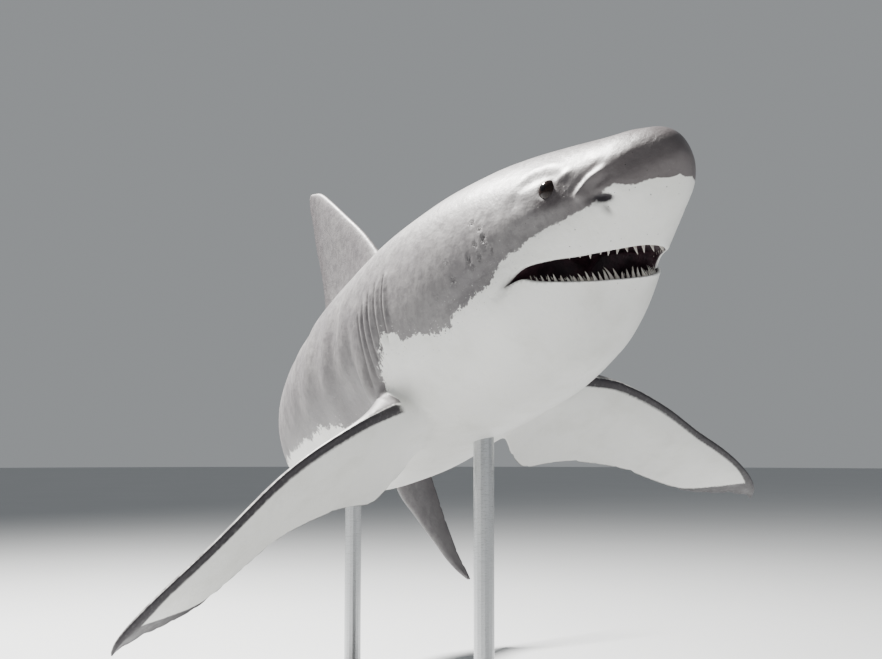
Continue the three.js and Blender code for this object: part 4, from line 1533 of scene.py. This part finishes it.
def add_scars(shader, place, colour, slate_dark):
    """Pitted scars, broken up into small marks, darkened in the pits as painted shade and with pale
    flecks that are partly healed skin and partly painted highlight: the new colour and the depth of the
    pits.
    """
    scar = shader.attribute("scar")
    flecks = shader.noise("scar flecks", place, 170, 4, 0.7)
    pits = shader.maths("pitted", "MULTIPLY", scar, shader.spread("fleck", flecks, 0.46, 0.60))
    pits = shader.maths("scar pits", "MINIMUM", pits, 1.0)
    # Painted shade darkens the pits.
    colour = shader.mix("scarred", shader.maths("dark", "MULTIPLY", pits, 0.8), colour, slate_dark)
    # Pale flecks: partly healed skin, partly painted highlight.
    healed_and_highlight = shader.maths("healed", "MULTIPLY", scar, shader.spread("pale fleck", flecks, 0.42, 0.34))
    healed_and_highlight = shader.maths("healed spots", "MINIMUM", healed_and_highlight, 0.6)
    return shader.mix("healed", healed_and_highlight, colour, PALE_SCAR_AND_HIGHLIGHT), pits


def add_scratches(shader, place, colour, grey):
    """Thin healed scratches on the grey."""
    streak = shader.add("ShaderNodeMapping", "stretched", {"Vector": place, "Scale": (9, 3, 40)})
    streaks = shader.noise("scratch", streak.outputs[0], 5, 2, 0.4, 1.2)
    line = shader.maths("scratch line", "ABSOLUTE", shader.maths("centred", "ADD", streaks, -0.5))
    rare = shader.spread("rare", shader.noise("where scratched", place, 3.4, 1), 0.58, 0.64)
    scratch = shader.maths("scratches", "MULTIPLY", shader.spread("thin", line, 0.004, 0.001), rare)
    scratch = shader.maths("on the grey", "MULTIPLY", scratch, grey)
    return shader.mix("scratched", shader.maths("pale", "MULTIPLY", scratch, 0.45), colour, PALE_SCAR_AND_HIGHLIGHT)


def skin_material(settings):
    material, shader, surface, place = new_material("shark_skin")
    grey, fine = ragged_border(shader, place, settings.ragged)
    back, mottle = back_colour(shader, place, settings)
    stain = shader.spread("stains", shader.noise("stain", place, 9, 5, 0.6), 0.45, 0.75, 0, 0.55)
    belly = shader.mix("belly", stain, settings.belly_white, settings.belly_stain)
    colour = shader.mix("coat", grey, belly, back)
    # Painted shade: the eye's socket, the nostril and the head's creases turn dark brown; the unpaired
    # fins darken towards their rear edges.
    shade = shader.maths("socket shade", "MULTIPLY", shader.attribute("shade"), 0.85)
    colour = shader.mix("shaded hollows", shade, colour, PAINTED_SHADE_BROWN)
    # Black of the fins' edges and tips, and painted black shade in the nostril and at the foot of the
    # last gill slit.
    less = shader.maths("less", "ADD", shader.attribute("black"), -0.18)
    frayed = shader.maths("black fray", "MULTIPLY_ADD", fine, 0.36, less)
    black = shader.spread("black", frayed, 0.25, 0.75)
    colour = shader.mix("black tips and painted shade", black, colour, settings.black_and_painted_shade)
    colour, pore = add_pores(shader, place, colour)
    colour, pits = add_scars(shader, place, colour, settings.slate_dark)
    colour = add_scratches(shader, place, colour, grey)
    shader.put(surface["Base Color"], colour)
    shader.put(surface["Roughness"], shader.spread("shine", mottle, 0.3, 0.7, 0.42, 0.56))
    surface["Specular IOR Level"].default_value = 0.4
    surface["Coat Weight"].default_value = 0.08
    surface["Coat Roughness"].default_value = 0.35

    # Grain of the denticles over softer unevenness, with pores and pits cut in.
    normal = shader.grain("soft unevenness", place, (55, 4, 0.55, 0), 0.0022, 0.8)
    grain = shader.noise("denticles", place, 1100, 2, 0.5)
    normal = shader.bump("denticle grain", grain, 0.0003, 0.6, normal)
    cut = shader.maths("cut in", "MULTIPLY", shader.maths("pores and pits", "ADD", pore, pits), -1.0)
    shader.put(surface["Normal"], shader.bump("cuts", cut, 0.0016, 0.8, normal))
    return material


def mouth_material(settings):
    material, shader, surface, place = new_material("mouth")
    # The lining is painted near black: painted shade of the inside of the mouth.
    noise = (30, 4, 0.6, 0)
    colours = (settings.mouth_shade_dark, settings.mouth_shade_flesh)
    colour, _ = shader.clouds("flesh", place, noise, (0.35, 0.65), *colours)
    shader.put(surface["Base Color"], colour)
    surface["Roughness"].default_value = 0.5
    surface["Specular IOR Level"].default_value = 0.3
    shader.put(surface["Normal"], shader.grain("gum folds", place, (70, 3, 0.5, 0.8), 0.003, 0.7))
    return material


def tooth_material(settings):
    material, shader, surface, place = new_material("teeth")
    noise = (60, 3, 0.5, 0)
    colour, _ = shader.clouds("enamel", place, noise, (0.4, 0.7), settings.white, settings.stain)
    shader.put(surface["Base Color"], colour)
    surface["Roughness"].default_value = 0.28
    shader.put(surface["Normal"], shader.grain("enamel grain", place, (500, 3, 0.5, 0), 0.0003, 0.4))
    return material


def eye_material(settings):
    material, shader, surface, place = new_material("eye")
    noise = (260, 3, 0.6, 0)
    colours = (settings.iris_dark, settings.iris_brown)
    iris, fibre = shader.clouds("iris", place, noise, (0.3, 0.7), *colours)
    pupil = shader.spread("pupil", shader.attribute("off_axis"), 0.30, 0.34)
    shader.put(surface["Base Color"], shader.mix("pupil and iris", pupil, PUPIL_BLACK, iris))
    surface["Roughness"].default_value = 0.14
    surface["Specular IOR Level"].default_value = 0.2
    surface["Coat Weight"].default_value = 0.05
    surface["Coat Roughness"].default_value = 0.05
    shader.put(surface["Normal"], shader.bump("eye surface", fibre, 0.0001, 0.3))
    return material


def stand_base_material(settings):
    material, shader, surface, place = new_material("stand_base")
    stretched = {"Vector": place, "Scale": (1, 14, 14)}
    along = shader.add("ShaderNodeMapping", "along the board", stretched).outputs[0]
    noise = (9, 6, 0.6, 0.6)
    colours = (settings.wood_dark, settings.wood_light)
    colour, grain = shader.clouds("stained wood", along, noise, (0.35, 0.65), *colours)
    shader.put(surface["Base Color"], colour)
    shader.put(surface["Roughness"], shader.spread("varnish", grain, 0.3, 0.7, 0.32, 0.44))
    shader.put(surface["Normal"], shader.bump("open grain", grain, 0.0006, 0.35))
    return material


def stand_steel_material(settings):
    material, shader, surface, place = new_material("stand_steel")
    stretched = {"Vector": place, "Scale": (6, 6, 260)}
    around = shader.add("ShaderNodeMapping", "round the rod", stretched).outputs[0]
    brushed = shader.noise("brushing", around, 8, 3, 0.6)
    colour = shader.mix("steel", brushed, settings.steel_dark, settings.steel_light)
    shader.put(surface["Base Color"], colour)
    surface["Metallic"].default_value = 1.0
    shader.put(surface["Roughness"], shader.spread("brushed", brushed, 0.3, 0.7, 0.26, 0.4))
    shader.put(surface["Normal"], shader.bump("brush marks", brushed, 0.0001, 0.3))
    return material


def floor_material(settings):
    material, shader, surface, place = new_material("floor")
    cloud = shader.noise("floor clouds", place, 0.8, 3, 0.5)
    colour = shader.mix("pale floor", cloud, settings.floor_pale, settings.floor_paler)
    shader.put(surface["Base Color"], colour)
    surface["Roughness"].default_value = 0.7
    return material


# ---------------------------------------------------------------------------
# Studio
# ---------------------------------------------------------------------------

def area_light(name, place, size, power, colour):
    data = bpy.data.lights.new(name, "AREA")
    data.shape = "DISK"
    data.size = size
    data.energy = power
    data.color = colour
    lamp = bpy.data.objects.new(name, data)
    bpy.context.scene.collection.objects.link(lamp)
    aim = (Vector(LIGHT_TARGET) - Vector(place)).to_track_quat("-Z", "Y")
    lamp.matrix_world = Matrix.Translation(place) @ aim.to_matrix().to_4x4()


def make_floor(settings):
    bm = bmesh.new()
    bmesh.ops.create_circle(bm, cap_ends=True, segments=96, radius=FLOOR_RADIUS)
    floor = mesh_object("floor", bm)
    floor.data.materials.append(floor_material(settings))
    return floor


def light_the_room(strength):
    world = bpy.data.worlds.new("room")
    world.use_nodes = True
    world.node_tree.nodes["Background"].inputs["Color"].default_value = ROOM_COLOUR
    world.node_tree.nodes["Background"].inputs["Strength"].default_value = strength
    bpy.context.scene.world = world


def place_camera():
    data = bpy.data.cameras.new("camera")
    data.sensor_width = CAMERA_SENSOR
    data.lens = CAMERA_SENSOR * CAMERA_FOCAL / IMAGE_WIDTH
    data.clip_end = CAMERA_REACH
    camera = bpy.data.objects.new("camera", data)
    bpy.context.scene.collection.objects.link(camera)
    right = Vector(CAMERA_RIGHT).normalized()
    ahead = Vector(CAMERA_AHEAD).normalized()
    up = right.cross(ahead).normalized()
    turn = Matrix((right, up, -ahead)).transposed().to_4x4()
    camera.matrix_world = Matrix.Translation(CAMERA_PLACE) @ turn
    bpy.context.scene.camera = camera


# ---------------------------------------------------------------------------
# The add-on
# ---------------------------------------------------------------------------

FLESH_NODES = (
    "head",
    "lower_jaw",
    "gill_region",
    "trunk_front",
    "trunk_rear",
    "tail_stem",
    "dorsal_fin_first",
    "dorsal_fin_second",
    "anal_fin",
    "tail_fin",
    "pectoral_fin_left",
    "pectoral_fin_right",
    "pelvic_fin_left",
    "pelvic_fin_right",
)
STAND_NODES = (
    "stand_rod_front",
    "stand_rod_rear",
    "stand_collar_front",
    "stand_collar_rear",
)


def colour_setting(name, description, default):
    return bpy.props.FloatVectorProperty(
        name=name, description=description, default=default, size=4, min=0, max=1, subtype="COLOR",
    )


def length_setting(name, description, millimetres):
    return bpy.props.FloatProperty(
        name=name, description=description, default=millimetres * MM, min=0.001, unit="LENGTH",
    )


def power_setting(name, description, watts):
    return bpy.props.FloatProperty(
        name=name, description=description, default=watts, min=0, unit="POWER",
    )


class SharkSkinSettings(bpy.types.PropertyGroup):
    ragged: bpy.props.FloatProperty(
        name="Ragged Border",
        description="How far the border between grey and white wanders",
        default=1.0,
        min=0.0,
        max=3.0,
        subtype="FACTOR",
    )
    slate_light: colour_setting("Pale Slate", "Paler clouds of the back", SLATE_LIGHT)
    slate: colour_setting("Slate", "Main colour of the back", SLATE)
    slate_dark: colour_setting("Dark Slate", "Mottling and ridge of the back", SLATE_DARK)
    snout_brown: colour_setting("Snout", "Tint of the snout's top", SNOUT_BROWN)
    belly_white: colour_setting("Belly", "White of the underside", BELLY_WHITE)
    belly_stain: colour_setting("Belly Stain", "Faint clouds on the underside", BELLY_STAIN)
    # Also the painted shade in the nostrils and at the foot of the last gill slit.
    black_and_painted_shade: colour_setting("Fin Edges and Painted Shade", "Black of the fins' edges and the nostrils", BLACK_AND_PAINTED_SHADE)
    # The mouth's lining is painted near black as painted shade.
    mouth_shade_dark: colour_setting("Mouth", "Dark parts of the mouth's lining", MOUTH_SHADE_DARK)
    mouth_shade_flesh: colour_setting("Gums", "Paler parts of the mouth's lining", MOUTH_SHADE_FLESH)


class SharkTeethSettings(bpy.types.PropertyGroup):
    upper_height: length_setting("Upper Height", "Height of the first one", UPPER_TOOTH["height"])
    upper_width: length_setting("Upper Width", "Width of the first one", UPPER_TOOTH["width"])
    lower_height: length_setting("Lower Height", "Height of the first one", LOWER_TOOTH["height"])
    lower_width: length_setting("Lower Width", "Width of the first one", LOWER_TOOTH["width"])
    white: colour_setting("Enamel", "Main colour of the teeth", TOOTH_WHITE)
    stain: colour_setting("Enamel Stain", "Faint clouds on the teeth", TOOTH_STAIN)


class SharkEyeSettings(bpy.types.PropertyGroup):
    radius: length_setting("Radius", "Radius of an eyeball", EYE_RADIUS)
    sink: length_setting("Depth", "How far an eyeball's centre lies under the skin", EYE_SINK)
    iris_dark: colour_setting("Dark Iris", "Darker fibres of the iris", IRIS_DARK)
    iris_brown: colour_setting("Brown Iris", "Paler fibres of the iris", IRIS_BROWN)


class SharkStandSettings(bpy.types.PropertyGroup):
    wood_dark: colour_setting("Dark Wood", "Darker grain of the base", BASE_DARK)
    wood_light: colour_setting("Pale Wood", "Paler grain of the base", BASE_LIGHT)
    steel_dark: colour_setting("Dark Steel", "Darker brush marks of rods and collars", STEEL_DARK)
    steel_light: colour_setting("Pale Steel", "Paler brush marks of rods and collars", STEEL_LIGHT)


class SharkStageSettings(bpy.types.PropertyGroup):
    key_power: power_setting("Key Light", "Power of the light above the back", 2600)
    fill_power: power_setting("Fill Light", "Power of the soft light beside the camera", 20)
    room_light: bpy.props.FloatProperty(
        name="Room Light",
        description="Strength of the even light from all around",
        default=0.34,
        min=0.0,
        max=2.0,
        subtype="FACTOR",
    )
    floor_pale: colour_setting("Floor", "Main colour of the floor", FLOOR_PALE)
    floor_paler: colour_setting("Floor Clouds", "Paler clouds of the floor", FLOOR_PALER)


def finished(piece, material, *nodes):
    """Moves a piece into the model's frame, hangs it under the root and hides the parts it stands for.
    """
    piece.data.transform(world_matrix())
    if material is not None:
        piece.data.materials.clear()
        piece.data.materials.append(material)
    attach(piece, "root")
    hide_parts(*nodes)


class SHARK_OT_skin(bpy.types.Operator):
    """Build the one skin of body, mouth and fins"""

    bl_idname = "shark.skin"
    bl_label = "Skin"

    def execute(self, context):
        settings = context.scene.shark_skin
        bm = body_shell()
        open_mouth(bm)
        arch_lips(bm)
        add_relief(bm)
        line_mouth(bm)
        skin = mesh_object("shark_skin", bm)
        skin.data.materials.append(skin_material(settings))
        skin.data.materials.append(mouth_material(settings))
        unite(skin, [blade(fin, fin_frame) for fin, fin_frame in FIN_FRAMES.values()])
        soften_roots(skin.data)
        check_closed(skin.data, "The skin")
        points = np.empty(3 * len(skin.data.vertices))
        skin.data.vertices.foreach_get("co", points)
        for name, values in skin_marks(points.reshape(-1, 3)).items():
            float_attribute(skin.data, name, values)
        skin.data.shade_smooth()
        finished(skin, None, *FLESH_NODES)
        return {"FINISHED"}


class SHARK_OT_teeth(bpy.types.Operator):
    """Build both rows of teeth"""

    bl_idname = "shark.teeth"
    bl_label = "Teeth"

    def execute(self, context):
        settings = context.scene.shark_teeth
        material = tooth_material(settings)
        upper = {
            **UPPER_TOOTH,
            "height": settings.upper_height / MM,
            "width": settings.upper_width / MM,
        }
        lower = {
            **LOWER_TOOTH,
            "height": settings.lower_height / MM,
            "width": settings.lower_width / MM,
        }
        rows = (
            ("upper_teeth", tooth_row(upper, upper_lip_at, True), "head"),
            ("lower_teeth", tooth_row(lower, lower_lip_at, False), "lower_jaw"),
        )
        for name, bm, node in rows:
            row = mesh_object(name, bm)
            check_closed(row.data, name)
            finished(row, material, node)
        return {"FINISHED"}


class SHARK_OT_eyes(bpy.types.Operator):
    """Build both eyeballs"""

    bl_idname = "shark.eyes"
    bl_label = "Eyes"

    def execute(self, context):
        settings = context.scene.shark_eyes
        radius, sink = settings.radius / MM, settings.sink / MM
        material = eye_material(settings)
        for side, hand in (("left", 1), ("right", -1)):
            centre, outward = eye_axis(hand, sink)
            bm = eyeball(centre, outward, radius)
            points = vertex_array(bm) - np.array(centre)
            eye = mesh_object("eyeball_" + side, bm)
            check_closed(eye.data, "The eyeball")
            cosine = points @ np.array(outward) / radius
            float_attribute(eye.data, "off_axis", np.sqrt(np.clip(1 - cosine ** 2, 0, 1)))
            finished(eye, material, "eye_" + side)
        return {"FINISHED"}


class SHARK_OT_stand(bpy.types.Operator):
    """Finish the display stand"""

    bl_idname = "shark.stand"
    bl_label = "Stand"

    def execute(self, context):
        settings = context.scene.shark_stand
        steel = stand_steel_material(settings)
        finishes = [("stand_base", stand_base_material(settings))]
        finishes += [(node, steel) for node in STAND_NODES]
        for node, material in finishes:
            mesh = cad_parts[node].data
            mesh.materials.clear()
            mesh.materials.append(material)
        return {"FINISHED"}


class SHARK_OT_stage(bpy.types.Operator):
    """Set up the floor, the lights and the camera"""

    bl_idname = "shark.stage"
    bl_label = "Stage"

    def execute(self, context):
        settings = context.scene.shark_stage
        make_floor(settings)
        light_the_room(settings.room_light)
        area_light("key", KEY_PLACE, KEY_SIZE, settings.key_power, KEY_COLOUR)
        area_light("fill", FILL_PLACE, FILL_SIZE, settings.fill_power, FILL_COLOUR)
        place_camera()
        return {"FINISHED"}


# Each step of the build: its settings on the scene, their class and the operator that reads them.
STEPS = (
    ("shark_skin", SharkSkinSettings, SHARK_OT_skin),
    ("shark_teeth", SharkTeethSettings, SHARK_OT_teeth),
    ("shark_eyes", SharkEyeSettings, SHARK_OT_eyes),
    ("shark_stand", SharkStandSettings, SHARK_OT_stand),
    ("shark_stage", SharkStageSettings, SHARK_OT_stage),
)


class SHARK_PT_panel(bpy.types.Panel):
    """Lists every step of the build with its settings"""

    bl_label = "Great White Shark"
    bl_idname = "SHARK_PT_panel"
    bl_space_type = "VIEW_3D"
    bl_region_type = "UI"
    bl_category = "Shark"

    def draw(self, context):
        for name, settings, operator in STEPS:
            box = self.layout.box()
            for setting in settings.__annotations__:
                box.prop(getattr(context.scene, name), setting)
            box.operator(operator.bl_idname)


def register():
    for name, settings, operator in STEPS:
        bpy.utils.register_class(settings)
        bpy.utils.register_class(operator)
        setattr(bpy.types.Scene, name, bpy.props.PointerProperty(type=settings))
    bpy.utils.register_class(SHARK_PT_panel)


def unregister():
    bpy.utils.unregister_class(SHARK_PT_panel)
    for name, settings, operator in reversed(STEPS):
        delattr(bpy.types.Scene, name)
        bpy.utils.unregister_class(operator)
        bpy.utils.unregister_class(settings)


def main():
    """Builds the whole scene."""
    register()
    bpy.ops.shark.skin()
    bpy.ops.shark.teeth()
    bpy.ops.shark.eyes()
    bpy.ops.shark.stand()
    bpy.ops.shark.stage()


if __name__ == "__main__":
    main()
